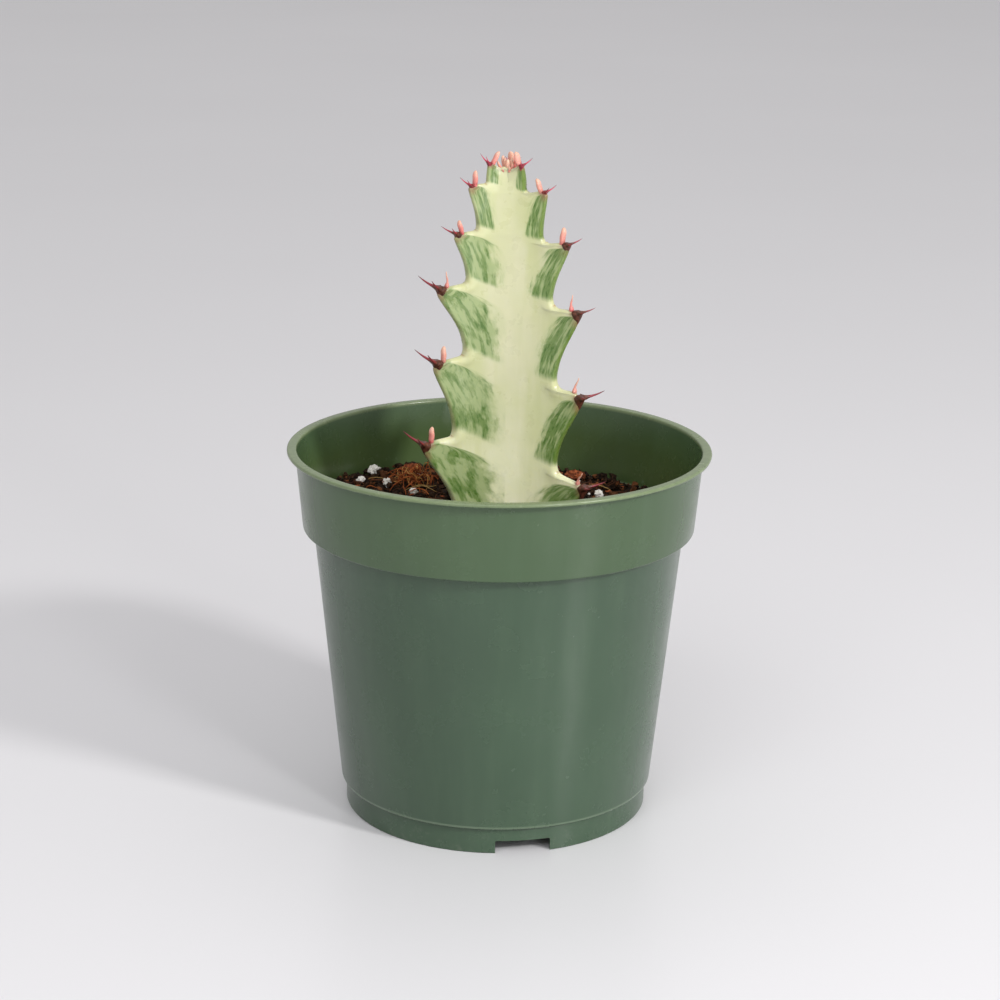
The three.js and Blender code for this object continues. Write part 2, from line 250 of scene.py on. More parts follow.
class Nodes:
    """The nodes of one tree, placed and linked in the order that they are named."""

    def __init__(self, tree):
        self.tree = tree

    def node(self, kind, settings=(), **inputs):
        made = self.tree.nodes.new(kind)
        for key, value in dict(settings).items():
            setattr(made, key, value)
        for key, value in inputs.items():
            self.feed(made, key, value)
        return made

    def feed(self, node, key, value):
        """Links a socket, or sets a plain value. A key such as _6 is a socket's number."""
        socket = node.inputs[int(key[1:])] if key[1:].isdigit() else node.inputs[key.replace("_", " ")]
        if isinstance(value, bpy.types.NodeSocket):
            self.tree.links.new(value, socket)
        else:
            socket.default_value = value

    def place(self):
        return self.node("ShaderNodeTexCoord").outputs["Object"]

    def attribute(self, name, output="Fac"):
        return self.node("ShaderNodeAttribute", {"attribute_name": name}).outputs[output]

    def stretched(self, vector, scale):
        return self.node("ShaderNodeMapping", Vector=vector, Scale=scale).outputs["Vector"]

    def speckle(self, vector, scale, detail=3.0, rough=0.5):
        made = self.node("ShaderNodeTexNoise", Vector=vector, Scale=scale, Detail=detail, Roughness=rough)
        return made.outputs["Fac"]

    def between(self, value, low, high, to_low=0.0, to_high=1.0):
        settings = {"interpolation_type": "SMOOTHSTEP"}
        made = self.node("ShaderNodeMapRange", settings, Value=value, From_Min=low, From_Max=high,
                         To_Min=to_low, To_Max=to_high)
        return made.outputs["Result"]

    def varied(self, grain, low, high):
        """A value that follows a grain, from low to high."""
        return self.between(grain, 0.3, 0.7, low, high)

    def rising(self, low, high, to_low=0.0, to_high=1.0):
        """A mask that goes from one height to another, in mm."""
        height = self.node("ShaderNodeSeparateXYZ", Vector=self.place()).outputs["Z"]
        return self.between(height, low * MM, high * MM, to_low, to_high)

    def math(self, operation, first, second):
        made = self.node("ShaderNodeMath", {"operation": operation}, _0=first, _1=second)
        return made.outputs["Value"]

    def times(self, first, second):
        return self.math("MULTIPLY", first, second)

    def plus(self, first, second):
        return self.math("ADD", first, second)

    def mix(self, share, first, second):
        made = self.node("ShaderNodeMix", {"data_type": "RGBA"}, _0=share, _6=first, _7=second)
        return made.outputs[2]

    def layered(self, base, layers):
        """Lays each (share, colour) of the layers over the last."""
        for share, tint in layers:
            base = self.mix(share, base, tint)
        return base

    def bump(self, height, strength, distance):
        made = self.node("ShaderNodeBump", Height=height, Strength=strength, Distance=distance)
        return made.outputs["Normal"]


class Finish(Nodes):
    """One material: its own nodes, and its surface."""

    def __init__(self, name):
        self.material = bpy.data.materials.new(name)
        self.material.use_nodes = True
        super().__init__(self.material.node_tree)
        self.shader = self.tree.nodes["Principled BSDF"]

    def surface(self, **inputs):
        """Feeds the shader, and gives the finished material."""
        for key, value in inputs.items():
            self.feed(self.shader, key, value)
        return self.material


def grain_group():
    """The two-tone grain that natural surfaces share, with a relief that follows it."""
    tree = bpy.data.node_groups.new("two tone grain", "ShaderNodeTree")
    for way, names, kinds in (
            ("INPUT", "Place Scale Detail Dark Light Relief", "Vector Float Float Color Color Float"),
            ("OUTPUT", "Color Grain Normal", "Color Float Vector")):
        for name, kind in zip(names.split(), kinds.split()):
            tree.interface.new_socket(name, in_out=way, socket_type="NodeSocket" + kind)
    nodes = Nodes(tree)
    given = nodes.node("NodeGroupInput").outputs
    grain = nodes.speckle(given["Place"], given["Scale"], given["Detail"])
    shade = nodes.mix(nodes.between(grain, *GRAIN_SPLIT), given["Dark"], given["Light"])
    relief = nodes.bump(grain, given["Relief"], GRAIN_DEPTH)
    nodes.node("NodeGroupOutput", Color=shade, Grain=grain, Normal=relief)
    return tree


def colour(red, green, blue):
    """A colour seen on a screen, 0 to 255, as light."""
    def light(value):
        value = value / 255
        return value / 12.92 if value <= 0.04045 else ((value + 0.055) / 1.055) ** 2.4
    return (light(red), light(green), light(blue), 1.0)


# The shared grain: where it turns from dark to light, and how deep it is. A dull surface has few highlights.
GRAIN_SPLIT = (0.35, 0.7)
GRAIN_DEPTH = 0.2 * MM
DULL = 0.12
GRAIN = grain_group()


def grained(paint, scale, detail, shades, relief, place=None):
    """The shared grain in this material: its colour, its mask and its relief."""
    dark, light = shades
    made = paint.node("ShaderNodeGroup", {"node_tree": GRAIN}, Place=place or paint.place(), Scale=scale,
                      Detail=detail, Dark=dark, Light=light, Relief=relief)
    return made.outputs["Color"], made.outputs["Grain"], made.outputs["Normal"]


# ------------ camera, light and floor

CAMERA_PLACE = (0.0003, -0.5905, 0.25065)
CAMERA_TARGET = (0.0003, 0.0, 0.08065)
CAMERA_LENS = 86.3
CAMERA_ROLL = 0.0126


def set_camera():
    bpy.ops.object.camera_add(location=CAMERA_PLACE)
    camera = bpy.context.object
    camera.data.lens = CAMERA_LENS
    view = (Vector(CAMERA_TARGET) - Vector(CAMERA_PLACE)).to_track_quat("-Z", "Y")
    camera.rotation_mode = "QUATERNION"
    camera.rotation_quaternion = view @ Quaternion((0, 0, 1), CAMERA_ROLL)
    bpy.context.scene.camera = camera


# Each soft box: its place, width, length, power and tint.
SOFT_BOXES = {
    "key_light": ((1.12, -0.845, 0.86), 0.2, 0.2, 15.0, (1.0, 0.99, 0.97)),
    "fill_light": ((-0.35, -1.1, 1.15), 0.9, 0.9, 7.5, (1.0, 1.0, 1.0)),
    "back_light": ((0.0, 1.9, 2.3), 2.6, 2.6, 12.0, (1.0, 0.99, 0.98)),
    "strip_light": ((0.41, -0.73, 0.42), 0.07, 0.8, 2.2, (1.0, 1.0, 1.0)),
}
FACING_DOWN = "back_light"
LIT_POINT = (0.0, 0.0, 0.08)
STUDIO_TINT = (0.99, 0.98, 0.985, 1.0)
STUDIO_STRENGTH = 0.53


def set_lights():
    """The soft boxes, which face the plant, and the even light of the studio."""
    for name, (place, width, length, power, tint) in SOFT_BOXES.items():
        bpy.ops.object.light_add(type="AREA", location=place)
        box = bpy.context.object
        box.name = name
        box.data.shape = "RECTANGLE"
        box.data.size = width
        box.data.size_y = length
        box.data.energy = power
        box.data.color = tint
        if name != FACING_DOWN:
            aim = Vector(LIT_POINT) - Vector(place)
            box.rotation_euler = aim.to_track_quat("-Z", "Y").to_euler()
    world = bpy.data.worlds.new("studio")
    bpy.context.scene.world = world
    world.use_nodes = True
    background = world.node_tree.nodes["Background"]
    background.inputs["Color"].default_value = STUDIO_TINT
    background.inputs["Strength"].default_value = STUDIO_STRENGTH
    bpy.context.scene.view_settings.view_transform = "Standard"


FLOOR_SIZE = 8.0
FLOOR_GREYS = (colour(220, 219, 222), colour(225, 224, 227))


def set_floor():
    floor = primitive(bpy.ops.mesh.primitive_plane_add, "studio_floor", size=FLOOR_SIZE)
    paint = Finish("studio floor")
    base = paint.mix(paint.speckle(paint.place(), 3.0), *FLOOR_GREYS)
    floor.data.materials.append(paint.surface(Base_Color=base, Roughness=0.32, Specular_IOR_Level=0.4))


# ------------ the pot

def rounded(corners):
    """The points of a profile of (radius, height, fillet) corners."""
    points = []
    for i, (radius, height, fillet) in enumerate(corners):
        here = Vector((radius, height))
        if not fillet:
            points.append(here)
            continue
        before = (Vector(corners[i - 1][:2]) - here).normalized()
        after = (Vector(corners[i + 1][:2]) - here).normalized()
        half = before.angle(after) / 2
        centre = here + (before + after).normalized() * (fillet / math.sin(half))
        arm = here + before * (fillet / math.tan(half)) - centre
        end = here + after * (fillet / math.tan(half)) - centre
        sweep = math.atan2(arm.x * end.y - arm.y * end.x, arm.dot(end))
        for step in range(FILLET_STEPS + 1):
            points.append(centre + Matrix.Rotation(sweep * step / FILLET_STEPS, 2) @ arm)
    return points


def turn(name, points, segments):
    """A closed body: a disc whose edge is extruded from ring to ring, with the last one filled."""
    radius, height = points[0]
    piece = settle(primitive(bpy.ops.mesh.primitive_circle_add, name, vertices=segments, radius=radius * MM,
                             fill_type="NGON", location=(0, 0, height * MM)))
    edit_all(piece)
    for ring in points[1:]:
        rise = (ring.y - height) * MM
        growth = ring.x / radius
        bpy.ops.mesh.extrude_edges_move(TRANSFORM_OT_translate={"value": (0, 0, rise)})
        bpy.ops.transform.resize(value=(growth, growth, 1), center_override=(0, 0, ring.y * MM))
        radius, height = ring
    bpy.ops.mesh.edge_face_add()
    object_mode()
    return face_outwards(piece)


def cut(piece, cutter):
    apply_modifier(piece, "BOOLEAN", object=cutter, operation="DIFFERENCE", solver="EXACT")
    bpy.data.objects.remove(cutter)


def polar(azimuth, distance, height):
    angle = math.radians(azimuth)
    return Vector((distance * math.cos(angle), distance * math.sin(angle), height)) * MM


def body_radius(height):
    part = (height - FOOT_HEIGHT) / (COLLAR_FOOT_HEIGHT - FOOT_HEIGHT)
    return BODY_FOOT_RADIUS + (BODY_TOP_RADIUS - BODY_FOOT_RADIUS) * part


# The outside of the wall, by height. Long stretches of it get a ring in their middle.
OUTER_HEIGHTS = (FOOT_HEIGHT, COLLAR_FOOT_HEIGHT, SHELF, POT_HEIGHT)
OUTER_RADII = (BODY_FOOT_RADIUS, BODY_TOP_RADIUS, COLLAR_FOOT_RADIUS, COLLAR_TOP_RADIUS)
LONG_STRETCH = 6.0
NOTCH_DEPTH = 7.0
NOTCH_BEVEL = 0.5
DRAIN_DEPTH = 4.0
DRAIN_SIDES = 48


def make_pot():
    """The pot: a turned wall with a rim, a collar, a step and a foot, then its notches and drain holes."""
    rim_under = POT_HEIGHT - RIM_THICKNESS
    foot_inside = FOOT_RADIUS - FOOT_THICKNESS
    corners = (
        (1.0, FLOOR_UNDERSIDE, 0),
        (foot_inside, FLOOR_UNDERSIDE, 0.5),
        (foot_inside, 0.0, 0.25),
        (FOOT_RADIUS, 0.0, 0.35),
        (FOOT_RADIUS, FOOT_HEIGHT, 0.15),
        (BODY_FOOT_RADIUS, FOOT_HEIGHT, 0.75),
        (BODY_TOP_RADIUS, COLLAR_FOOT_HEIGHT, 0.35),
        (COLLAR_FOOT_RADIUS, COLLAR_FOOT_HEIGHT, 0.6),
        (COLLAR_TOP_RADIUS, rim_under, 0.45),
        (RIM_RADIUS, rim_under, 0.42),
        (RIM_RADIUS, POT_HEIGHT, 0.42),
        (COLLAR_TOP_RADIUS - LIP_WALL, POT_HEIGHT, 0.5),
        (COLLAR_FOOT_RADIUS - WALL, SHELF, 0.8),
        (BODY_TOP_RADIUS - WALL, SHELF, 0.5),
        (body_radius(FLOOR_TOP) - WALL, FLOOR_TOP, 1.2),
        (1.0, FLOOR_TOP, 0),
    )
    points = []
    for point in rounded(corners):
        if points and (point - points[-1]).length > LONG_STRETCH and point.x > foot_inside:
            points.append((point + points[-1]) / 2)
        points.append(point)
    pot = turn("pot", points, POT_SEGMENTS)
    for azimuth in NOTCH_AZIMUTHS:
        notch = primitive(bpy.ops.mesh.primitive_cube_add, "notch", size=1,
                          location=polar(azimuth, FOOT_RADIUS, 0), rotation=(0, 0, math.radians(azimuth)),
                          scale=(NOTCH_DEPTH * MM, NOTCH_WIDTH * MM, 2 * NOTCH_HEIGHT * MM))
        apply_modifier(settle(notch), "BEVEL", width=NOTCH_BEVEL * MM, segments=3)
        cut(pot, notch)
        hole = primitive(bpy.ops.mesh.primitive_cylinder_add, "drain_hole", vertices=DRAIN_SIDES,
                         radius=DRAIN_RADIUS * MM, depth=DRAIN_DEPTH * MM,
                         location=polar(azimuth, DRAIN_DISTANCE, FLOOR_TOP))
        cut(pot, settle(hole))
    x, y, z = points_of(pot).T / MM
    outer = np.interp(z, OUTER_HEIGHTS, OUTER_RADII)
    store(pot, "inside", (np.hypot(x, y) < outer - 0.5 * WALL) & (z > FLOOR_TOP - 0.1))
    smooth(pot, 35.0)
    return finish(pot, pot_plastic(), "pot_plastic", "nursery_pot")


# The collar's greens and the inside's green are painted light: yellower, for the light that shines through
# the thin wall.
BODY_GREENS = (colour(57, 78, 59), colour(61, 83, 63))
COLLAR_GREENS = (colour(64, 85, 58), colour(69, 91, 62))
INSIDE_GREEN_LIT_THROUGH = colour(72, 90, 50)
FLOW_MARKS = colour(86, 108, 84)
WORN_AND_HIGHLIT_RIM = colour(120, 134, 98)
LIMESCALE = colour(128, 144, 124)
STEP_REFLECTION = colour(124, 142, 118)
DUST = colour(140, 142, 130)
# The heights, in mm, over which each mark comes in. The lip's mark is partly a painted highlight, and the
# step's is a painted reflection.
BARE_WALL = (COLLAR_FOOT_HEIGHT - 0.6, COLLAR_FOOT_HEIGHT + 0.6)
RIM_WEAR_AND_HIGHLIGHT = (POT_HEIGHT - 1.1, POT_HEIGHT - 0.4)
TIDE_LINE = (86.5, 79.0)
STEP_REFLECTION_START = (6.8, 7.1)
STEP_REFLECTION_END = (7.8, 7.4)
DUSTY_FOOT = (9.0, 0.0)


def pot_plastic():
    """Moulded polypropylene: muted green and satin, with the bare collar and the inside of the wall painted
    yellower, for the light that comes through the thin plastic.
    """
    paint = Finish("moulded green plastic")
    place = paint.place()
    inside = paint.attribute("inside")
    broad = paint.between(paint.speckle(place, 22.0, 2.0), 0.3, 0.7)
    flow = paint.speckle(paint.stretched(place, (1.0, 1.0, 0.06)), 260.0, 4.0, 0.6)
    fine = paint.speckle(place, 1500.0, 2.0)
    scuff = paint.speckle(place, 420.0, 4.0, 0.7)
    splash = paint.speckle(place, 190.0, 5.0, 0.7)
    sheen = paint.speckle(place, 90.0, 5.0, 0.65)
    body, collar = paint.mix(broad, *BODY_GREENS), paint.mix(broad, *COLLAR_GREENS)
    # The lip: paler where scuffed, and partly a painted highlight along its edge.
    rim = paint.times(paint.rising(*RIM_WEAR_AND_HIGHLIGHT), paint.varied(scuff, 0.7, 0.95))
    tide = paint.times(paint.rising(*TIDE_LINE), inside)
    # A pale band just above the foot's step: a painted reflection of the floor on the rounded edge.
    step = paint.times(paint.rising(*STEP_REFLECTION_START), paint.rising(*STEP_REFLECTION_END))
    layers = (
        # Painted light: the inside of the wall is tinted yellower, as light shining through it would.
        (paint.times(inside, 0.9), INSIDE_GREEN_LIT_THROUGH),
        (paint.between(flow, 0.4, 0.8, 0.0, 0.14), FLOW_MARKS),
        (rim, WORN_AND_HIGHLIT_RIM),
        (paint.times(tide, paint.between(splash, 0.6, 0.72, 0.0, 0.3)), LIMESCALE),
        (paint.times(step, 0.4), STEP_REFLECTION),
        (paint.times(paint.rising(*DUSTY_FOOT, 0.0, 0.2), paint.between(scuff, 0.5, 0.8)), DUST),
    )
    base = paint.layered(paint.mix(paint.rising(*BARE_WALL), body, collar), layers)
    relief = paint.plus(paint.times(flow, 0.5), paint.times(fine, 0.08))
    return paint.surface(Base_Color=base, Roughness=paint.between(sheen, 0.3, 0.75, 0.22, 0.3), IOR=1.5,
                         Normal=paint.bump(relief, 0.05, 0.05 * MM))


# ------------ the potting mix

def mix_height(x):
    return MIX_LEVEL + MIX_SLOPE * x


def clear_of_shelf(x, y, z, size):
    """Lifts a grain that would sink into the step under the pot's collar."""
    beyond = math.hypot(x, y) + 1.4 * size > BODY_TOP_RADIUS - WALL
    return max(z, SHELF + size) if beyond else z


MIX_RINGS = 80
MIDDLE_RING = 0.48
SINK, SWELL, CLODS, GRIT = 0.9, 1.0, 1.5, 0.25
FRACTAL = (1.0, 2.0, 3)


def rough_height(x, y):
    """The height of the mix's bare top, with its swells, clods and grit."""
    swell = noise.fractal(Vector((x, y, 3.0)) * 0.09, *FRACTAL)
    clods = noise.turbulence(Vector((x, y, 9.0)) * 0.33, 4, False)
    grit = noise.noise(Vector((x, y, 5.0)) * 1.7)
    return mix_height(x) - SINK + SWELL * swell + CLODS * clods + GRIT * grit


def make_mix():
    """The body of the mix, which fills the pot, with a rough, uneven top."""
    bottom = FLOOR_TOP + 0.1
    outline = [
        (1.0, bottom),
        (body_radius(FLOOR_TOP) - WALL - 1.3, bottom),
        (BODY_TOP_RADIUS - WALL - 0.2, SHELF),
        (MIX_EDGE, SHELF + 0.15),
    ]
    outline.extend((radius, MIX_LEVEL) for radius in np.linspace(MIX_EDGE + 0.08, MIDDLE_RING, MIX_RINGS))
    mix = turn("mix_body", [Vector(point) for point in outline], POT_SEGMENTS)
    place = points_of(mix) / MM
    for i in np.flatnonzero(place[:, 2] > MIX_LEVEL - 0.2):
        x, y, _ = place[i]
        place[i, 2] = clear_of_shelf(x, y, rough_height(x, y), 0.15)
    move_points(mix, place * MM)
    smooth(mix)
    return finish(mix, damp_peat(), "potting_mix", "potting_mix")


PEAT_SHADES = (colour(17, 12, 9), colour(54, 36, 25))
BROWN_CRUMB = colour(128, 78, 46)
DRY_FLECK = colour(146, 104, 68)


def damp_peat():
    """Peat and composted bark: near black in the hollows, brown on the crumbs."""
    paint = Finish("damp peat")
    place = paint.place()
    brown = paint.times(paint.between(paint.attribute("tone"), 0.35, 0.95), 0.85)
    base, coarse, relief = grained(paint, 420.0, 5.0, PEAT_SHADES, 0.9, place)
    fleck = paint.between(paint.speckle(place, 2200.0, 4.0, 0.7), 0.52, 0.76, 0.0, 0.5)
    base = paint.layered(base, ((brown, BROWN_CRUMB), (fleck, DRY_FLECK)))
    return paint.surface(Base_Color=base, Roughness=paint.varied(coarse, 0.6, 0.95),
                         Normal=relief, Specular_IOR_Level=DULL)


def lump(name, cuts, depth, stretch, seed):
    """A broken grain: a ball pushed in and out by noise."""
    piece = primitive(bpy.ops.mesh.primitive_ico_sphere_add, name, subdivisions=cuts, radius=1.0)
    place = points_of(piece)
    for i, point in enumerate(place):
        push = noise.fractal(Vector(point) * 1.3 + Vector((seed, 0, 0)), *FRACTAL)
        place[i] = point * (1 + depth * push) * np.array(stretch)
    move_points(piece, place)
    return piece


def scatter(name, masters, places, tones):
    """One piece of many grains: each is a copy of a master at a place with its own turn and size."""
    points, faces, marks, count = [], [], [], 0
    shapes = [(points_of(m), [list(p.vertices) for p in m.data.polygons]) for m in masters]
    discard(masters)
    for index, ((x, y, z), size, spin) in enumerate(places):
        corners, sides = shapes[index % len(shapes)]
        points.append((corners * size) @ np.array(spin.to_matrix()).T + (x, y, z))
        faces.extend([[count + v for v in side] for side in sides])
        marks.append(np.full(len(corners), tones[index]))
        count += len(corners)
    mesh = bpy.data.meshes.new(name)
    mesh.from_pydata((np.concatenate(points) * MM).tolist(), [], faces)
    piece = bpy.data.objects.new(name, mesh)
    bpy.context.scene.collection.objects.link(piece)
    store(piece, "tone", np.concatenate(marks))
    return piece


def any_turn(draw):
    axis = Vector((draw.gauss(0, 1), draw.gauss(0, 1), draw.gauss(0, 1)))
    return Quaternion(axis.normalized(), draw.uniform(0, math.tau))


def on_the_mix(draw, far):
    """A place on the mix within this distance of its middle, clear of the stem."""
    while True:
        azimuth = draw.uniform(0, math.tau)
        distance = math.sqrt(draw.uniform(0, far ** 2))
        x, y = distance * math.cos(azimuth), distance * math.sin(azimuth)
        if math.hypot(x - STEM_X, y) > stem_reach(math.degrees(math.atan2(y, x - STEM_X))):
            return x, y


STEM_CORE = 4.5
RIB_SPREAD = 38.0


def stem_reach(azimuth):
    """How far the stem reaches from its axis at the mix, in that direction."""
    reach = STEM_CORE
    for _, rib_azimuth, root, _, _ in RIBS:
        off = abs((azimuth - rib_azimuth + 180) % 360 - 180)
        if off < 60:
            reach = max(reach, root * max(0.0, 1 - off / RIB_SPREAD) + 3.5)
    return reach


CRUMB_COUNT = 3200
CRUMB_MASTERS = 5
CRUMB_STRETCH = (1.0, 0.8, 0.6)
CRUMB_DEPTH = 0.75
SMALLEST_CRUMB = 0.35
CRUMB_SPREAD = 1.25
SMALL_SHARE = 2.6


def make_crumbs():
    """The loose crumbs that cover the mix: many small ones and a few large."""
    draw = random.Random(11)
    masters = [lump("crumb", 2, CRUMB_DEPTH, CRUMB_STRETCH, 7.3 * i) for i in range(CRUMB_MASTERS)]
    for master in masters:
        apply_modifier(master, "DECIMATE", ratio=0.55)
    places, tones = [], []
    for _ in range(CRUMB_COUNT):
        size = SMALLEST_CRUMB + CRUMB_SPREAD * draw.random() ** SMALL_SHARE
        x, y = on_the_mix(draw, MIX_EDGE - 1.3 * size)
        z = mix_height(x) + draw.uniform(-0.5, 0.9) * (0.6 + size * 0.4)
        places.append(((x, y, clear_of_shelf(x, y, z, size)), size, any_turn(draw)))
        tones.append(draw.random() ** 2)
    return finish(scatter("mix_crumbs", masters, places, tones), damp_peat(), "potting_mix")


# How far out a fibre's points may lie, and how many steps it has.
STRAND_LIMIT = 45.8
STRAND_STEPS = 6


def strand(draw, x, y, rises, lengths, lifts):
    """The points of one loose fibre, which starts at a place and bends as it goes."""
    z = mix_height(x) + draw.uniform(*rises)
    length = draw.uniform(*lengths)
    lift = draw.uniform(*lifts)
    heading = draw.uniform(0, math.tau)
    curl = draw.uniform(-0.5, 0.5)
    points = []
    for step in range(STRAND_STEPS + 1):
        part = step / STRAND_STEPS
        points.append((x, y, z + lift * math.sin(part * math.pi * draw.uniform(0.8, 1.1))))
        heading += curl + draw.uniform(-0.25, 0.25)
        x += math.cos(heading) * length / STRAND_STEPS
        y += math.sin(heading) * length / STRAND_STEPS
        back = min(1.0, STRAND_LIMIT / math.hypot(x, y))
        x, y = x * back, y * back
    return points


def fibres(name, material, routes, thickness):
    """Fine strands along their routes, as one piece."""
    curve = bpy.data.curves.new(name, "CURVE")
    curve.dimensions = "3D"
    curve.bevel_depth = thickness / 2 * MM
    curve.bevel_resolution = 1
    curve.resolution_u = 3
    curve.use_fill_caps = True
    for route in routes:
        spline = curve.splines.new("NURBS")
        spline.points.add(len(route) - 1)
        for i, (x, y, z) in enumerate(route):
            spline.points[i].co = (x * MM, y * MM, z * MM, 1)
            spline.points[i].radius = 0.55 + 0.45 * math.sin(math.pi * (i + 0.5) / len(route))
        spline.use_endpoint_u = True
        spline.order_u = 4
    piece = bpy.data.objects.new(name, curve)
    bpy.context.scene.collection.objects.link(piece)
    take(piece)
    bpy.ops.object.convert(target="MESH")
    piece = bpy.context.object
    smooth(piece)
    return finish(piece, material, "potting_mix")


def coir(name, shades):
    """Dry coconut fibre."""
    paint = Finish(name)
    base, grain, relief = grained(paint, 300.0, 3.0, shades, 0.4)
    return paint.surface(Base_Color=base, Roughness=paint.varied(grain, 0.65, 0.85),
                         Normal=relief, Specular_IOR_Level=DULL)


# Each kind of fibre: its dark and its light shade, and its thickness.
COIRS = {
    "orange": (colour(112, 54, 26), colour(186, 104, 56), 0.27),
    "golden": (colour(168, 112, 58), colour(208, 158, 96), 0.22),
    "dark": (colour(58, 34, 24), colour(104, 64, 42), 0.3),
    "straw": (colour(150, 118, 70), colour(196, 164, 108), 0.24),
}
# Fibres have ranges for how high they start above the mix, their length, and how far they lift in
# the middle. The clump also has a middle and a spread, and the loose ones a limit to their distance.
CLUMP_COUNT = 56
CLUMP_MIDDLE = (-22.5, 24.0)
CLUMP_SPREAD = (1.9, 3.0)
CLUMP_RANGES = ((-0.4, 0.8), (3, 9), (0.8, 4.2))
LOOSE_FIBRES = {
    "orange": (60, 44, ((-0.2, 0.7), (3, 9), (0.1, 1.2))),
    "dark": (170, 44, ((-0.2, 0.8), (3, 11), (0.1, 1.4))),
    "straw": (46, 43, ((0.1, 0.8), (4, 10), (0.3, 2.2))),
}


def make_fibres():
    """The coir: one clump beside the stem, a third of it golden, and loose fibres all over the mix."""
    draw = random.Random(23)
    routes = {kind: [] for kind in COIRS}
    for number in range(CLUMP_COUNT):
        x, y = (middle + draw.gauss(0, spread) for middle, spread in zip(CLUMP_MIDDLE, CLUMP_SPREAD))
        kind = "golden" if number % 3 == 2 else "orange"
        routes[kind].append(strand(draw, x, y, *CLUMP_RANGES))
    for kind, (count, far, ranges) in LOOSE_FIBRES.items():
        for _ in range(count):
            routes[kind].append(strand(draw, *on_the_mix(draw, far), *ranges))
    for kind, (dark, light, thickness) in COIRS.items():
        fibres(f"coir_{kind}", coir(f"{kind} coir", (dark, light)), routes[kind], thickness)


PERLITE_WHITES = (colour(236, 232, 226), colour(176, 164, 148))
PERLITE_PORE_SHADE = colour(150, 140, 128)
BARK_BROWNS = (colour(84, 42, 26), colour(164, 90, 56))


def perlite_foam():
    """Expanded volcanic glass: white, matt and full of pores."""
    paint = Finish("perlite foam")
    place = paint.place()
    pores = paint.node("ShaderNodeTexVoronoi", Vector=place, Scale=2600.0).outputs["Distance"]
    stain = paint.between(paint.speckle(place, 500.0), 0.5, 0.8, 0.0, 0.6)
    base = paint.mix(stain, *PERLITE_WHITES)
    # Painted shade: darker in the pits of the pores.
    base = paint.mix(paint.between(pores, 0.0, 0.25, 0.5, 0.0), base, PERLITE_PORE_SHADE)
    return paint.surface(Base_Color=base, Roughness=0.85, Normal=paint.bump(pores, 0.7, GRAIN_DEPTH))


def bark_flake():
    """Reddish composted bark, in layers."""
    paint = Finish("bark flake")
    layers = paint.stretched(paint.place(), (1.0, 0.25, 1.0))
    base, _, relief = grained(paint, 1200.0, 4.0, BARK_BROWNS, 0.9, layers)
    return paint.surface(Base_Color=base, Roughness=0.85, Normal=relief, Specular_IOR_Level=DULL)


# The grains of the frame are finely cut and partly sunk in. The fine bits have a count and a stretch.
GRAIN_CUTS = 5
GRAIN_ROUGHNESS = 0.36
GRAIN_SUNK = 0.3
BITS = {"perlite": (70, (1.0, 0.85, 0.75)), "bark": (130, (1.4, 0.8, 0.3))}
BIT_MASTERS = 4
BIT_ROUGHNESS = 0.6
BIT_LIMIT = 46
SMALLEST_BIT = 0.3
BIT_SPREAD = 0.75


def make_grains():
    """The white and brown grains of the frame, and the finer ones around them."""
    finishes = {"perlite": perlite_foam(), "bark": bark_flake()}
    for node in sorted(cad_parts):
        slot = node.split("_")[0]
        if slot not in finishes:
            continue
        low, high = (np.array(corner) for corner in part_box(node))
        number = int(node.split("_")[-1])
        name = node.replace("grain", "foam").replace("chip", "flake")
        grain = lump(name, GRAIN_CUTS, GRAIN_ROUGHNESS, (1, 1, 1), 4.1 * number)
        place = points_of(grain)
        foot, size = place.min(0), high - low
        place = (place - foot) / (place.max(0) - foot) * size + low
        move_points(grain, place - (0, 0, size[2] * GRAIN_SUNK))
        smooth(grain)
        finish(grain, finishes[slot], slot, node)
    draw = random.Random(5)
    for slot, (count, stretch) in BITS.items():
        masters = [lump("bit", 2, BIT_ROUGHNESS, stretch, 3.7 * i) for i in range(BIT_MASTERS)]
        places = []
        for _ in range(count):
            x, y = on_the_mix(draw, BIT_LIMIT)
            size = SMALLEST_BIT + BIT_SPREAD * draw.random() ** 2
            z = clear_of_shelf(x, y, mix_height(x) + draw.uniform(0.1, 0.9), size)
            places.append(((x, y, z), size, any_turn(draw)))
        bits = scatter(f"{slot}_bits", masters, places, [draw.random() for _ in places])
        finish(bits, finishes[slot], slot)


# ------------ the stem

SLOPE_ROWS = 34
EDGE_ROWS = 26
ROOT_ROWS = 8
CAP_ROWS = 10
ROUND_COLUMNS = 6
FACE_COLUMNS = 16
SLOPE_POINTS = 24
TIP_FILLET = 0.8
CAP_HEIGHT = 0.4
EDGE_THICKNESS = 0.85
ROUNDING = 0.75
NOTCH_ROUNDING = 0.6
NOTCH_SWELLING = 0.3
SWELLING_WIDTH = 1.1
RISE_AT_TIP = 0.8
TWIST = -20.0
TWIST_HEIGHTS = (161.0, 166.0)


def interpolate(table, value):
    return np.interp(value, [p for p, _ in table], [v for _, v in table])


def tooth_scale(tip_reach):
    return min(max(tip_reach / FULL_REACH, SMALLEST_SCALE), 1.0)


def slope_of(part):
    """How far out a tooth has grown, for each part of its rise to the tip."""
    return part ** 2.3 * (1 + 0.4 * (1 - part) + 0.96 * part * (1 - part))


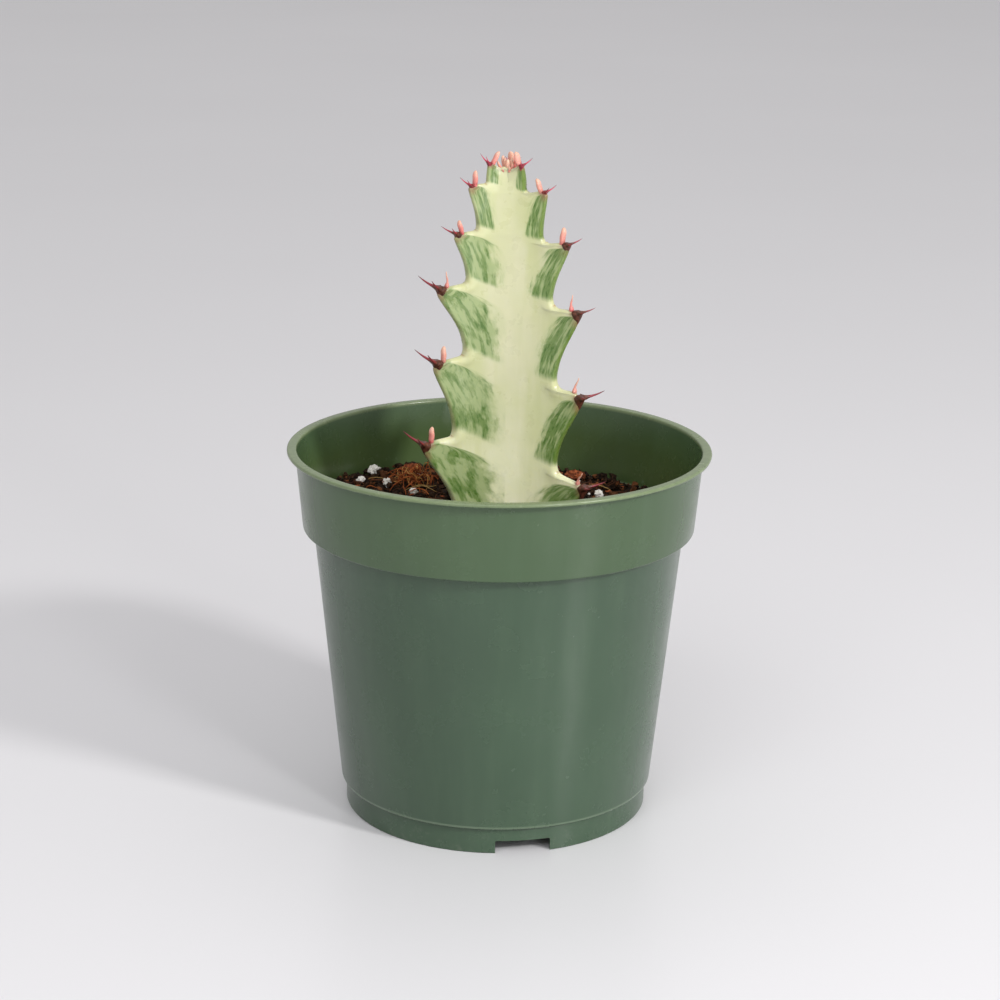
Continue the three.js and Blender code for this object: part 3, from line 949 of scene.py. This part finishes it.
def crest_of(root, notch_fillet, teeth):
    """A rib's crest, row by row: its points, and what part of which tooth each row is at."""
    corners = [(root, ROOT_BOTTOM, 0), (root, ROOT_TOP, 0)]
    marks = [(root, ROOT_TOP)]
    reach, height = root, ROOT_TOP
    clearance = 0.0
    for tip, shoulder, notch in teeth:
        scale = tooth_scale(tip[0])
        for step in range(1, SLOPE_POINTS):
            part = step / SLOPE_POINTS
            point = (reach + (tip[0] - reach) * slope_of(part), height + (tip[1] - height) * part, 0)
            if math.dist(point[:2], (reach, height)) > clearance and math.dist(point[:2], tip) > scale:
                corners.append(point)
        clearance = 1.3 * notch_fillet * scale
        corners.append((*tip, TIP_FILLET * scale))
        corners.append((*shoulder, TIP_FILLET * scale))
        corners.append((*notch, notch_fillet * scale))
        marks.extend((tip, notch))
        reach, height = notch
    corners[-1] = (*corners[-1][:2], 0)
    path = np.array([tuple(point) for point in rounded(corners)])
    along = np.concatenate([[0], np.cumsum(np.linalg.norm(np.diff(path, axis=0), axis=1))])
    stops = [0.0] + [along[np.argmin(np.linalg.norm(path - mark, axis=1))] for mark in marks]
    counts = [ROOT_ROWS] + [SLOPE_ROWS, EDGE_ROWS] * len(teeth)
    length, part, tooth = [], [], []
    for number, count in enumerate(counts):
        step = np.arange(count) / count
        length.append(stops[number] + (stops[number + 1] - stops[number]) * step)
        part.append(step + (1 if number and number % 2 == 0 else 0))
        tooth.append(np.full(count, (number + 1) // 2))
    length = np.concatenate(length + [[stops[-1]]])
    part = np.concatenate(part + [[2.0]])
    tooth = np.concatenate(tooth + [[len(teeth)]])
    crest = np.stack([np.interp(length, along, path[:, 0]), np.interp(length, along, path[:, 1])], 1)
    ends = np.array([ROOT_BOTTOM, ROOT_TOP] + [notch[1] for _, _, notch in teeth])
    rise = np.where(part <= 1, part * RISE_AT_TIP, RISE_AT_TIP + (part - 1) * (1 - RISE_AT_TIP))
    rise = np.where(tooth == 0, part, rise)
    level = ends[tooth] + (ends[tooth + 1] - ends[tooth]) * rise
    return {"crest": crest, "length": length, "part": part, "tooth": tooth, "level": level}


CRESTS = [crest_of(root, fillet, teeth) for _, _, root, fillet, teeth in RIBS]


def rib_twist(name, height):
    """The youngest tooth of the right rib faces further to the front."""
    return TWIST * smoothstep(*TWIST_HEIGHTS, height) if name == "right" else 0.0 * height


def plate(rib, half_turn, reach, height):
    """Half the thickness of a rib at this reach and height: thin at its edge, thick at the core."""
    tips = [(tip[1], tip[0]) for tip, _, _ in RIBS[rib][4]]
    edge_reach = interpolate(tips, height)
    edge = EDGE_THICKNESS * (0.45 + 0.55 * edge_reach / FULL_REACH)
    depth = interpolate(FACE_DEPTHS, height)
    valley_reach, valley_across = depth * math.cos(half_turn), depth * math.sin(half_turn)
    power = (edge_reach - valley_reach) / (valley_across - edge) / math.tan(half_turn)
    inwards = np.clip((edge_reach - reach) / (edge_reach - valley_reach), 0, 1)
    return edge + (valley_across - edge) * inwards ** power


def eased(path):
    """Evens out a line of points, so that it has no loops."""
    for _ in range(3):
        path[1:-1] = path[:-2] * 0.25 + path[1:-1] * 0.5 + path[2:] * 0.25
    return path


# The green patches of each side of a rib: how wide each tooth's is, how far up its tooth a patch goes, and
# how full its top is.
PATCHES = {("left", 1): ((0.95, 0.9, 0.88, 0.86, 0.58, 0.66), 1.6, 4.0),
           ("right", -1): ((0.6, 0.43, 0.46, 0.5, 0.52, 0.52), 1.2, 2.6)}
OTHER_PATCH = ((0.7, 0.66, 0.6, 0.64, 0.56, 0.6), 1.34, 3.4)


# The marks that tell the sides of the ribs apart: the front of the right rib, and both sides of the left one.
FRONT_OF_RIGHT = -1
LEFT_RIB = 3


def half_face(rib, side, half_turn, valley_height):
    """One side of a rib, from its crest to the middle of the face: points, and marks for the skin."""
    name, azimuth, _, _, teeth = RIBS[rib]
    rows = CRESTS[rib]
    crest, part, tooth = rows["crest"], rows["part"], rows["tooth"]
    tangent = np.gradient(crest, axis=0)
    tangent /= np.linalg.norm(tangent, axis=1)[:, None]
    out = np.stack([tangent[:, 1], -tangent[:, 0]], 1)
    scales = np.array([1.0] + [tooth_scale(tip[0]) for tip, _, _ in teeth])[tooth]
    above = fade(0.0, 0.16, part) * (tooth > 1)
    near_notch = np.maximum(smoothstep(1.5, 1.95, part), above)
    width = (ROUNDING + NOTCH_ROUNDING * near_notch) * scales
    core = eased(crest - out * width[:, None])
    valley_depth = interpolate(FACE_DEPTHS, valley_height)
    valley = np.stack([valley_depth * math.cos(half_turn), valley_height], 1)
    run = np.linalg.norm(valley - core, axis=1)
    upper = np.maximum(smoothstep(1.15, 1.4, part), near_notch)
    bearing = np.radians(azimuth + rib_twist(name, valley_height))
    widths, patch_top, fullness = PATCHES.get((name, side), OTHER_PATCH)
    patch_width = np.array(widths[:1] + widths)[tooth]
    patch_limit = patch_width * np.sqrt(np.clip(1 - (part / patch_top) ** fullness, 0.0004, 1))
    columns = []
    for column in range(ROUND_COLUMNS + FACE_COLUMNS + 1):
        angle = min(column / ROUND_COLUMNS, 1) * math.pi / 2
        inwards = max(column - ROUND_COLUMNS, 0) / FACE_COLUMNS
        place = core + out * (width * math.cos(angle))[:, None] * (1 if column < ROUND_COLUMNS else 0)
        place = place + (valley - core) * inwards
        gaps = np.linalg.norm(place[:, None] - crest[None], axis=2)
        nearest = gaps.argmin(1)
        swelling = NOTCH_SWELLING * (near_notch ** 3 * scales)[nearest]
        swelling = swelling * np.exp(-((gaps.min(1) - 1.5) / SWELLING_WIDTH) ** 2)
        across = plate(rib, half_turn, np.minimum(place[:, 0], core[:, 0]), place[:, 1])
        across = side * (across + swelling * (1 - inwards) ** 0.5) * math.sin(angle)
        x = place[:, 0] * np.cos(bearing) - across * np.sin(bearing)
        y = place[:, 0] * np.sin(bearing) + across * np.cos(bearing)
        round_edge = 1.3 * width
        from_crest = round_edge * angle / (math.pi / 2) + run * inwards
        marks = {
            "fan": np.clip(from_crest / (round_edge + run) / patch_limit, 0, 3),
            "from_crest": from_crest, "edge_gap": gaps.min(1), "upper": upper[nearest],
            "part": part, "tooth": tooth.astype(float), "along": rows["length"],
            "side": np.full(len(part), side * (rib + 1.0)), "to_middle": run * (1 - inwards),
            "green": fade(patch_top - 0.14, patch_top - 0.02, part),
        }
        columns.append((np.stack([x, y, place[:, 1]], 1), marks))
    return columns


def stem_grid():
    """All columns of the stem, going round it from the right rib's crest."""
    columns = []
    for rib in range(len(RIBS)):
        following = (rib + 1) % len(RIBS)
        half_turn = math.radians((RIBS[following][1] - RIBS[rib][1]) % 360 / 2)
        valley_height = (CRESTS[rib]["level"] + CRESTS[following]["level"]) / 2
        near = half_face(rib, 1, half_turn, valley_height)
        far = half_face(following, -1, half_turn, valley_height)
        columns.extend(near)
        columns.extend(reversed(far[1:-1]))
    columns.append(columns[0])
    points = np.stack([c[0] for c in columns], 1)
    marks = {key: np.stack([c[1][key] for c in columns], 1) for key in columns[0][1]}
    return points, marks


def close_ends(points):
    """Adds the rows that close the stem at its tip and at its buried foot."""
    top, bottom = [], []
    for row in range(1, CAP_ROWS + 1):
        angle = row / CAP_ROWS * math.pi / 2
        ring = points[-1].copy()
        ring[:, :2] *= math.cos(angle)
        ring[:, 2] += (ring[:, 2].max() + CAP_HEIGHT - ring[:, 2]) * math.sin(angle) ** 2
        top.append(ring)
        ring = points[0].copy()
        ring[:, :2] *= math.cos(angle)
        ring[:, 2] += (STEM_FOOT - ring[:, 2]) * math.sin(angle)
        bottom.insert(0, ring)
    return np.concatenate([bottom, points, top])


def skin_marks(marks):
    """What the skin's colours follow: its patches and streaks, the line on each edge, painted highlights and
    shade, and scars.
    """
    fan, part, tooth, side = marks["fan"], marks["part"], marks["tooth"], marks["side"]
    from_crest = marks["from_crest"]
    on_left = np.abs(side) == LEFT_RIB
    on_edge = fade(0.35, 1.0, from_crest)
    above_notch = np.clip(smoothstep(0.05, 0.17, part) + (tooth < 2), 0, 1)
    line = on_edge * above_notch * fade(0.94, 1.0, part)
    beside_shield = fade(0.6, 2.4, from_crest) * smoothstep(0.8, 0.96, part)
    return {
        "streaks": np.stack([fan * 8.0, marks["along"], side * 17.0], 1),
        "fan": fan,
        # Darker marbling: painted shade on the right rib's front, which faces away from the key light, and
        # the own deeper green of the youngest teeth.
        "shaded_front_and_young_teeth": np.where(side == FRONT_OF_RIGHT, 1.0, 0.9 * (tooth > 4)),
        # On the left rib the patch fades at the edge: painted light, to lift the shade on its rounded crest.
        "patch": above_notch * marks["green"] * np.where(on_left, 1 - 0.6 * on_edge, 1.0),
        # A paler band down the middle of each face: a painted highlight.
        "middle": fade(0.2, 5.6, marks["to_middle"]),
        # The green line on each edge, kept faint on the left rib as painted light against the shade on its
        # crest.
        "crest_line": line * np.where(on_left, 0.15, 1.0),
        # Painted highlight along the upper edge of each tooth and at its notch.
        "upper_edge_highlight": marks["upper"] * fade(0.9, 2.6, marks["edge_gap"]),
        "bruise": beside_shield * fade(1.3, 1.45, part),
        "notch_scar": fade(0.3, 1.1, from_crest) * smoothstep(1.88, 1.97, part),
    }


def make_stem():
    """The stem: a sheet with a column for each line along the ribs and faces, rolled up and closed."""
    points, marks = stem_grid()
    points = close_ends(points)
    rows, columns = points.shape[:2]
    stem = primitive(bpy.ops.mesh.primitive_grid_add, "stem_body", x_subdivisions=columns - 1,
                     y_subdivisions=rows - 1, size=1)
    points[:, :, 0] += STEM_X
    move_points(stem, points.reshape(-1, 3) * MM)
    for key in marks:
        marks[key] = np.pad(marks[key], ((CAP_ROWS, CAP_ROWS), (0, 0)), mode="edge").ravel()
    for key, values in skin_marks(marks).items():
        store(stem, key, values)
    face_outwards(stem)
    smooth(stem)
    return finish(stem, stem_skin(), "stem_skin", "stem")


# The skin's pale shades, each for the top and the foot of the stem, and the heights over which they turn, in
# mm: painted light, darker at the top and paler at the foot, to even out the light, which is brighter above
# the pot's rim than within it.
CREAM = (colour(201, 200, 167), colour(236, 234, 206))
PALE_GREEN = (colour(188, 191, 146), colour(222, 224, 184))
YELLOWER = (colour(186, 190, 140), colour(208, 210, 164))
PAINTED_LIGHT_HEIGHTS = (118.0, 80.0)
UPPER_EDGE_HIGHLIGHT = colour(204, 203, 162)
PATCH_HALO = colour(172, 182, 134)
PATCH_GROUND = colour(147, 163, 111)
MARBLING = colour(100, 127, 64)
DEEP_STREAKS = colour(68, 103, 34)
CREST_GREEN = colour(104, 128, 56)
BRUISE = colour(142, 108, 80)
NOTCH_SCAR = colour(168, 128, 92)


def stem_skin():
    """Waxy skin: cream along the faces, with marbled green on each tooth and a green line on its edge."""
    paint = Finish("waxy variegated skin")
    place = paint.place()
    streaks = paint.attribute("streaks", "Vector")
    patch = paint.attribute("patch")
    wash = paint.speckle(place, 55.0)
    bands = paint.speckle(paint.stretched(place, (1.0, 1.0, 0.12)), 260.0)
    mottle = paint.speckle(place, 330.0)
    ragged = paint.speckle(paint.stretched(streaks, (0.5, 0.16, 1.0)), 1.0, 4.0, 0.6)
    marbling = paint.speckle(paint.stretched(streaks, (0.8, 0.15, 1.0)), 1.0, 3.0, 0.55)
    fine = paint.speckle(paint.stretched(streaks, (1.6, 0.4, 1.0)), 1.0, 3.0, 0.6)
    # Painted light: the skin turns paler towards the foot, to make up for the shade within the pot's rim.
    old = paint.rising(*PAINTED_LIGHT_HEIGHTS)
    cream, pale_green, yellower = [paint.mix(old, *shades) for shades in (CREAM, PALE_GREEN, YELLOWER)]
    # A painted highlight: the middle of each face is mixed back towards cream.
    middle = paint.times(paint.attribute("middle"), paint.varied(wash, 1.0, 0.5))
    outer = paint.math("SUBTRACT", paint.between(bands, 0.3, 0.65, 0.2, 0.7), middle)
    reach = paint.plus(paint.attribute("fan"), paint.times(paint.math("SUBTRACT", ragged, 0.5), 0.9))
    halo = paint.times(paint.between(reach, 1.25, 0.8), patch)
    ground = paint.times(paint.between(reach, 1.02, 0.72), patch)
    # More dark marbling where painted shade falls on the right rib's front, and on the youngest teeth.
    marbling = paint.plus(marbling, paint.times(paint.attribute("shaded_front_and_young_teeth"), 0.06))
    dark = paint.times(paint.between(marbling, 0.42, 0.6), ground)
    deep = paint.times(paint.between(fine, 0.42, 0.66), paint.between(marbling, 0.48, 0.64))
    base = paint.layered(cream, (
        (paint.between(wash, 0.38, 0.66), pale_green),
        (paint.between(bands, 0.4, 0.7, 0.0, 0.5), pale_green),
        (paint.math("MAXIMUM", outer, 0.0), yellower),
        (paint.times(middle, 0.45), cream),
        # Painted highlight: paler cream along the upper edges.
        (paint.times(paint.attribute("upper_edge_highlight"), 0.35), UPPER_EDGE_HIGHLIGHT),
        (paint.times(halo, 0.5), PATCH_HALO),
        (paint.times(ground, 0.85), PATCH_GROUND),
        (paint.times(dark, 0.85), MARBLING),
        (paint.times(paint.times(deep, ground), 0.85), DEEP_STREAKS),
        (paint.times(paint.attribute("crest_line"), paint.between(fine, 0.2, 0.6, 0.5, 0.95)), CREST_GREEN),
        (paint.times(paint.attribute("bruise"), paint.varied(mottle, 0.3, 0.9)), BRUISE),
        (paint.times(paint.attribute("notch_scar"), paint.between(mottle, 0.4, 0.6, 0.1, 0.8)), NOTCH_SCAR),
    ))
    dimples = paint.times(paint.speckle(place, 480.0, 2.0), 0.25)
    pores = paint.times(paint.speckle(place, 2600.0, 2.0), 0.06)
    relief = paint.plus(paint.plus(paint.times(wash, 2.5), dimples), pores)
    return paint.surface(Base_Color=base, Roughness=paint.varied(mottle, 0.25, 0.4), IOR=1.45,
                         Normal=paint.bump(relief, 0.3, 0.3 * MM), Coat_Weight=0.2, Coat_Roughness=0.18,
                         Subsurface_Weight=0.3, Subsurface_Scale=2.2 * MM,
                         Subsurface_Radius=(1.0, 0.9, 0.45))


# ------------ spines and leaves

SPINE_LENGTH = 6.6
SPINE_RADIUS = 0.38
SPINE_FLARE = 0.7
SPINE_YAW = 42.0
SPINE_PITCHES = {"left": 28.0, "right": 15.0, "back": 26.0}
# The teeth whose spines differ: how much more they rise, and how long they are against the others.
SPINE_FITS = {("right", 3): (0.0, 0.78), ("right", 4): (6.0, 0.82), ("right", 5): (18.0, 1.0),
              ("right", 6): (20.0, 1.0), ("left", 2): (3.0, 1.0), ("left", 5): (9.0, 1.05),
              ("left", 6): (18.0, 1.0)}
SPINE_STEPS = 12
SPINE_SIDES = 14
# Where a spine stands on the shield: forwards, aside and up.
SPINE_FOOT = (0.55, 0.5, 0.2)
# The shield's half depth, width and height, and how long the tail under it is.
SHIELD_SIZE = (1.55, 1.3, 0.95)
SHIELD_TAIL = 2.9
# How finely a shield and its spines are melted together, and how much of the mesh is kept.
MELT = 0.1
KEPT = 0.4
LEAF_LENGTH = 4.4
LEAF_RADIUS = 0.86
LEAF_STEPS = 14
LEAF_SIDES = 20


def grow(name, rings, sides):
    """A round rod: a disc extruded along its rings of (place, radius), and closed at its tip."""
    place, radius = rings[0]
    piece = settle(primitive(bpy.ops.mesh.primitive_circle_add, name, vertices=sides, radius=radius,
                             fill_type="NGON", location=place))
    edit_all(piece)
    for centre, width in rings[1:]:
        step = Vector(centre) - Vector(place)
        bpy.ops.mesh.extrude_edges_move(TRANSFORM_OT_translate={"value": step})
        bpy.ops.transform.resize(value=[width / radius] * 3, center_override=centre)
        place, radius = centre, width
    bpy.ops.mesh.merge(type="CENTER")
    object_mode()
    return face_outwards(piece)


def spine_master():
    """One spine of unit length, upright, with a flared base and a slight upward bend."""
    rings = []
    for step in range(SPINE_STEPS + 1):
        part = step / SPINE_STEPS
        radius = SPINE_RADIUS * (1 - part) ** 0.75 + SPINE_FLARE * (1 - part) ** 7 + 0.04
        bend = 0.05 * math.sin(math.pi * part)
        rings.append(((bend, 0.0, part), radius / SPINE_LENGTH))
    return smooth(grow("spine", rings, SPINE_SIDES))


def shield_master():
    """The horny shield that a tooth's spines stand on: broad at its top, with a tail down the edge."""
    shield = primitive(bpy.ops.mesh.primitive_uv_sphere_add, "shield", segments=28, ring_count=20, radius=1.0)
    x, y, z = points_of(shield).T
    tail = np.clip(-z, 0, 1)
    depth, width, height = SHIELD_SIZE
    x = x * depth * (1 - 0.6 * tail) + 0.15 - 0.05 * tail
    y = y * width * (1 - 0.4 * tail)
    z = np.where(z > 0, z * height, z * SHIELD_TAIL)
    move_points(shield, np.stack([x, y, z], 1))
    return smooth(shield)


def copy_of(master, name, matrix):
    piece = master.copy()
    piece.data = master.data.copy()
    piece.name = name
    bpy.context.scene.collection.objects.link(piece)
    piece.data.transform(matrix)
    return piece


def tilt(degrees, axis):
    return Matrix.Rotation(math.radians(degrees), 4, axis)


def on_stem(azimuth, reach, height):
    """The frame of a place on the stem, facing away from its axis."""
    place = polar(azimuth, reach, height) + Vector((STEM_X * MM, 0, 0))
    return Matrix.Translation(place) @ tilt(azimuth, "Z")


def nose_of(rib, number):
    """The frame of a tooth's nose, halfway from its tip to its shoulder, and the tooth's size."""
    name, azimuth, _, _, teeth = RIBS[rib]
    tip, shoulder, _ = teeth[number]
    reach, height = (tip[0] + shoulder[0]) / 2, (tip[1] + shoulder[1]) / 2
    return on_stem(azimuth + rib_twist(name, height), reach, height), tooth_scale(tip[0])


def make_spines(rib, number, spine, shield, horn, draw):
    """A tooth's shield and its two spines, grown together."""
    name = RIBS[rib][0]
    nose, scale = nose_of(rib, number)
    unit = scale * MM
    rise, length = SPINE_FITS.get((name, number + 1), (0.0, 1.0))
    parts = [copy_of(shield, "cap", nose @ Matrix.Scale(unit, 4))]
    for side in (1, -1):
        yaw = side * (SPINE_YAW + draw.uniform(-4, 4))
        pitch = SPINE_PITCHES[name] + rise + draw.uniform(-4, 4)
        start = Matrix.Translation(Vector(SPINE_FOOT) * Vector((1, side, 1)) * unit)
        grown = Matrix.Scale(SPINE_LENGTH * length * draw.uniform(0.92, 1.05) * unit, 4)
        parts.append(copy_of(spine, "spine", nose @ start @ tilt(yaw, "Z") @ tilt(90 - pitch, "Y") @ grown))
    piece = join(parts, f"spines_{name}_{number + 1}")
    apply_modifier(piece, "REMESH", mode="VOXEL", voxel_size=MELT * unit)
    apply_modifier(piece, "SMOOTH", factor=0.5, iterations=6)
    apply_modifier(piece, "DECIMATE", ratio=KEPT)
    away = np.linalg.norm(points_of(piece) - np.array(nose.translation), axis=1) / (SPINE_LENGTH * unit)
    store(piece, "along", np.clip(away, 0, 1.2))
    store(piece, "young", np.full(len(away), number / YOUNGEST))
    smooth(piece)
    return finish(piece, horn, "spine_horn", f"spine_pair_{name}_{number + 1}")


# The colours of the horn, each from dark to light, or from old to young on the spines' shafts.
YOUNGEST = 5.0
OLD_SHIELD = (colour(60, 29, 20), colour(104, 56, 38))
YOUNG_SHIELD = (colour(112, 28, 38), colour(164, 50, 66))
SPINE_SHAFT = (colour(132, 38, 48), colour(198, 50, 84))
SPINE_POINT = colour(62, 26, 30)


def spine_horn():
    """Horn: dark brown at the shield, maroon along the spine and almost black at its point."""
    paint = Finish("dark horn")
    along = paint.attribute("along")
    young = paint.attribute("young")
    old, grain, relief = grained(paint, 1600.0, 3.0, OLD_SHIELD, 0.3)
    new = paint.mix(paint.between(grain, *GRAIN_SPLIT), *YOUNG_SHIELD)
    shield = paint.mix(paint.between(young, 0.55, 1.0), old, new)
    shaft = paint.mix(paint.between(young, 0.4, 1.0), *SPINE_SHAFT)
    base = paint.mix(paint.between(along, 0.3, 0.5), shield, shaft)
    base = paint.mix(paint.between(along, 0.75, 1.05, 0.0, 0.75), base, SPINE_POINT)
    return paint.surface(Base_Color=base, Roughness=paint.varied(grain, 0.34, 0.55),
                         Normal=relief, IOR=1.52)


def leaf_master(shrivelled):
    """A fleshy finger of unit length, upright, with a round tip; a shrivelled one is a thread on a knob."""
    rings = []
    for step in range(LEAF_STEPS + 1):
        part = step / LEAF_STEPS
        if shrivelled:
            width = 0.34 + 0.62 * math.exp(-((part - 0.16) / 0.2) ** 2) + 0.06 * math.sin(14 * part)
            bend = 0.1 * math.sin(5 * part) * part
        else:
            width = 0.86 + 0.16 * math.sin(math.pi * part)
            bend = 0.05 * part ** 2
        width *= math.sqrt(max(1 - part ** 6, 0.03))
        rings.append(((-bend, 0.0, part), width * LEAF_RADIUS / LEAF_LENGTH))
    leaf = grow("leaf", rings, LEAF_SIDES)
    x, y, z = points_of(leaf).T
    move_points(leaf, np.stack([x * 0.82 + 0.012 * np.sin(z * 11), y * 1.1, z], 1))
    store(leaf, "along", np.clip(z, 0, 1))
    return smooth(leaf)


# How far back from the nose a leaf stands, how deep it sits, and how thin a dry one is.
LEAF_SETBACK = 1.35
LEAF_SUNK = 0.5
DRY_GIRTH = 0.8
# The teeth whose leaf has shrivelled, and those whose leaf leans: outwards, and to the side.
SHRIVELLED = {("right", 1), ("right", 2), ("right", 3), ("left", 3), ("back", 2)}
LEANS = {("left", 4): (16, 0), ("right", 5): (-14, 4), ("right", 2): (18, 0), ("left", 1): (-3, 3),
         ("right", 4): (6, 0), ("right", 1): (24, 12), ("back", 3): (12, 5),
         ("left", 6): (-30, 4), ("right", 6): (-24, -6), ("back", 6): (-18, 5)}


def place_leaf(master, name, frame_of_leaf, girth, length, pale):
    """A copy of a leaf in its frame, with its own size and paleness."""
    size = Matrix.Diagonal((girth * MM, girth * MM, length * MM, 1))
    leaf = copy_of(master, name, frame_of_leaf @ size)
    store(leaf, "pale", np.full(len(leaf.data.vertices), pale))
    return leaf


def make_leaves(masters, flesh, draw):
    """The small leaf above each tooth's shield."""
    for rib, (name, _, _, _, teeth) in enumerate(RIBS):
        for number, (_, shoulder, _) in enumerate(teeth):
            nose, scale = nose_of(rib, number)
            dry = (name, number + 1) in SHRIVELLED
            outwards, aside = LEANS.get((name, number + 1), (0, 0))
            length = LEAF_LENGTH * (0.7 + 0.3 * scale) * draw.uniform(0.92, 1.08)
            rise = shoulder[1] * MM - nose.translation.z
            start = Matrix.Translation((-LEAF_SETBACK * scale * MM, 0, rise - LEAF_SUNK * MM))
            lean = tilt(outwards + draw.uniform(-4, 4), "Y") @ tilt(aside + draw.uniform(-5, 5), "X")
            girth = length * (DRY_GIRTH if dry else 1.0)
            leaf = place_leaf(masters[dry], f"fleshy_leaf_{name}_{number + 1}", nose @ start @ lean,
                              girth, length, draw.uniform(0.0, 0.6))
            finish(leaf, flesh, "leaf_flesh", f"leaf_{name}_{number + 1}")


# The youngest leaves: azimuth, distance from the stem's axis, length, lean outwards, and paleness.
TIP_LEAVES = ((258.0, 0.9, 3.3, 4.0, 1.0), (20.0, 1.2, 3.9, 16.0, 0.0), (140.0, 1.1, 4.0, 14.0, 0.6))
BUDS = ((300.0, 1.2, 2.5, 22.0, 0.0), (200.0, 1.5, 3.1, 30.0, 0.2), (350.0, 0.5, 3.7, 8.0, 1.0),
        (80.0, 1.4, 2.7, 18.0, 0.5), (235.0, 1.9, 1.4, 46.0, 0.0), (315.0, 2.0, 1.3, 52.0, 0.0),
        (275.0, 1.7, 1.9, 34.0, 0.3), (170.0, 0.6, 3.5, 8.0, 0.9))
TIP_LEAF_GIRTH = 0.74
TIP_HEIGHT = 164.9


def tip_leaf(master, name, azimuth, distance, length, lean, pale):
    upright = on_stem(azimuth, distance, TIP_HEIGHT)
    return place_leaf(master, name, upright @ tilt(lean, "Y"), length * TIP_LEAF_GIRTH, length, pale)


def make_tip_leaves(master, flesh):
    for number, leaf in enumerate(TIP_LEAVES, 1):
        grown = tip_leaf(master, f"youngest_leaf_{number}", *leaf)
        finish(grown, flesh, "leaf_flesh", f"tip_leaf_{number}")
    buds = [tip_leaf(master, "bud", *bud) for bud in BUDS]
    finish(join(buds, "tip_buds"), flesh, "leaf_flesh")


LEAF_FOOT = (colour(164, 50, 64), colour(206, 98, 104))
LEAF_MIDDLE = colour(214, 128, 122)
LEAF_TIP = colour(222, 168, 148)
PALE_LEAF = colour(228, 196, 168)


def leaf_flesh():
    """Young flesh: rose pink at the foot, fading to peach and cream at the tip."""
    paint = Finish("rosy leaf flesh")
    foot, mottle, relief = grained(paint, 700.0, 3.0, LEAF_FOOT, 0.3)
    ragged = paint.times(paint.math("SUBTRACT", mottle, 0.5), 0.4)
    reach = paint.plus(paint.attribute("along"), ragged)
    base = paint.layered(foot, (
        (paint.between(reach, 0.0, 0.4), LEAF_MIDDLE),
        (paint.between(reach, 0.35, 0.95), LEAF_TIP),
        (paint.times(paint.attribute("pale"), 0.6), PALE_LEAF),
    ))
    return paint.surface(Base_Color=base, Roughness=paint.varied(mottle, 0.4, 0.55), Normal=relief,
                         Subsurface_Weight=0.3, Subsurface_Scale=1.2 * MM,
                         Subsurface_Radius=(1.0, 0.45, 0.35))


def make_growth():
    """Every tooth's spines and leaf, and the leaves of the growing tip."""
    draw = random.Random(41)
    spine, shield, horn = spine_master(), shield_master(), spine_horn()
    for rib, (_, _, _, _, teeth) in enumerate(RIBS):
        for number in range(len(teeth)):
            make_spines(rib, number, spine, shield, horn, draw)
    masters = (leaf_master(False), leaf_master(True))
    flesh = leaf_flesh()
    make_leaves(masters, flesh, draw)
    make_tip_leaves(masters[0], flesh)
    discard((spine, shield, *masters))


set_camera()
set_lights()
set_floor()
make_pot()
make_mix()
make_crumbs()
make_fibres()
make_grains()
make_stem()
make_growth()
